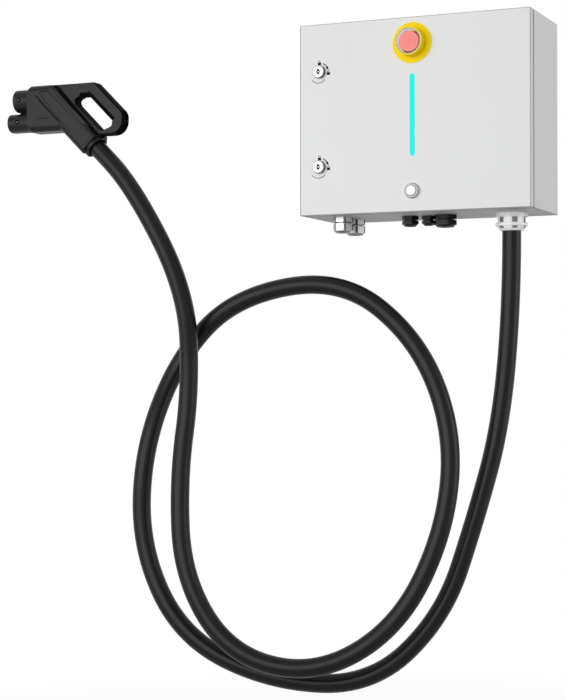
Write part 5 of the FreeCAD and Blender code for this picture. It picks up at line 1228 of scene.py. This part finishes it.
border = raised([(-137.7, 128.6, 2), (-108, 128.6, 0), (2, 21.5, 0), (-19.4, 0.4, 0), (-78.6, 59.2, 0),
                 (-137.7, 118.3, 3)], height=31.35, rim=0.3)
groove = raised([(-133.0, 127.2, 4.6), (-106, 127.2, 0), (0.0, 19.8, 0), (-16.0, 3.8, 0), (-71.3, 54.7, 0)],
                height=31.42, rim=0)
crease = raised([(-139.4, 118.4, 0), (-78.6, 57.6, 0), (-77.0, 59.2, 0), (-137.8, 120.0, 0)],
                height=31.40, rim=0)
panel = raised([(-131, 126, 4), (-106, 126, 0), (0.1, 19.9, 0), (-16.4, 3.4, 0), (-70.5, 55.5, 0)],
               height=31.8, rim=0.35)
mark = raised([(-134.1, 67.9, 0), (-103.4, 66.3, 0), (-103.4, 67.4, 0), (-134.1, 69.0, 0)],
              height=30.12, rim=0)
button = turned(in_mm([(0, 0, 0), (5.5, 0, 0), (5.5, 27.5, 0.8), (0, 27.5, 0)]), turns=40)
boss = at_entry(moved(button, -0.5 * MM, 31.5 * MM))

# Painted shade: black for the groove, the crease, the boss's recess and the noses' sockets, and for the thin
# mark.
painted_shade_and_line_black = moulded("painted_shade_and_line_black", rgb(6, 6, 7), 0.7, shine=0.03)
on_connector("connector_panel", border, panel)
on_connector("connector_panel_groove", groove, crease, finish=painted_shade_and_line_black)
on_connector("connector_mark", mark, boss, finish=painted_shade_and_line_black)

# %% [markdown]
# ## Pins in the noses
# Each nose shows a small steel pin in a dark ring at its tip; the ring's black is painted shade in the pin's
# socket. Both are turned pieces: the ring is a closed section with a hole in its middle, and the pin ends on
# the axis.

# %% Pins in the noses, drawn in millimetres from the cable entry
RING_SECTION = in_mm([(1.4, -3, 0), (4.6, -3, 0), (4.6, 0.5, 0.2), (1.4, 0.2, 0)])
PIN_SECTION = in_mm([(0, -3, 0), (1.3, -3, 0), (1.3, 0.3, 0.3), (0, 0.4, 0)])
NOSE_TIPS = ((-186.0, 112.8, 25.0), (-188.2, 63.2, 26.0))


def at_noses(section):
    """The same turned piece at the tip of each nose."""
    return [at_entry(moved(turned(section, turns=40), across * MM, up * MM), ahead * MM)
            for across, up, ahead in NOSE_TIPS]


pin_steel = zinc_plate("pin_steel", rgb(126, 127, 128), 0.42)
on_connector("nose_pin_rings", *at_noses(RING_SECTION), finish=painted_shade_and_line_black)
on_connector("nose_pins", *at_noses(PIN_SECTION), slot="zinc_steel", finish=pin_steel)

# %% [markdown]
# ## What the cable carries
# A program that lets the cable swing has to know where it leaves the box, how long and how stiff it is,
# and which pieces move with its end. This cell lists the pieces that move with its end, the drawn ones
# above and the measured ones inside the housing, and the point where it leaves its gland.

# %% What the cable carries
on_cable += [nodes[name] for name in sorted(nodes) if name.startswith("connector_") and name not in SHELLS]
gland_mouth = [value * MM for value in CABLE_ROUTE[0]]
print("pieces on the cable", len(on_cable))

# %% [markdown]
# ## Sizes
# The measured solids and the dressed scene must fill the same box. The dressed scene's box is measured
# here, and its size is printed.

# %% Measure the scene's size
seen_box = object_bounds()
low, high = seen_box
print("size", [round(value, 3) for value in high - low], "m")
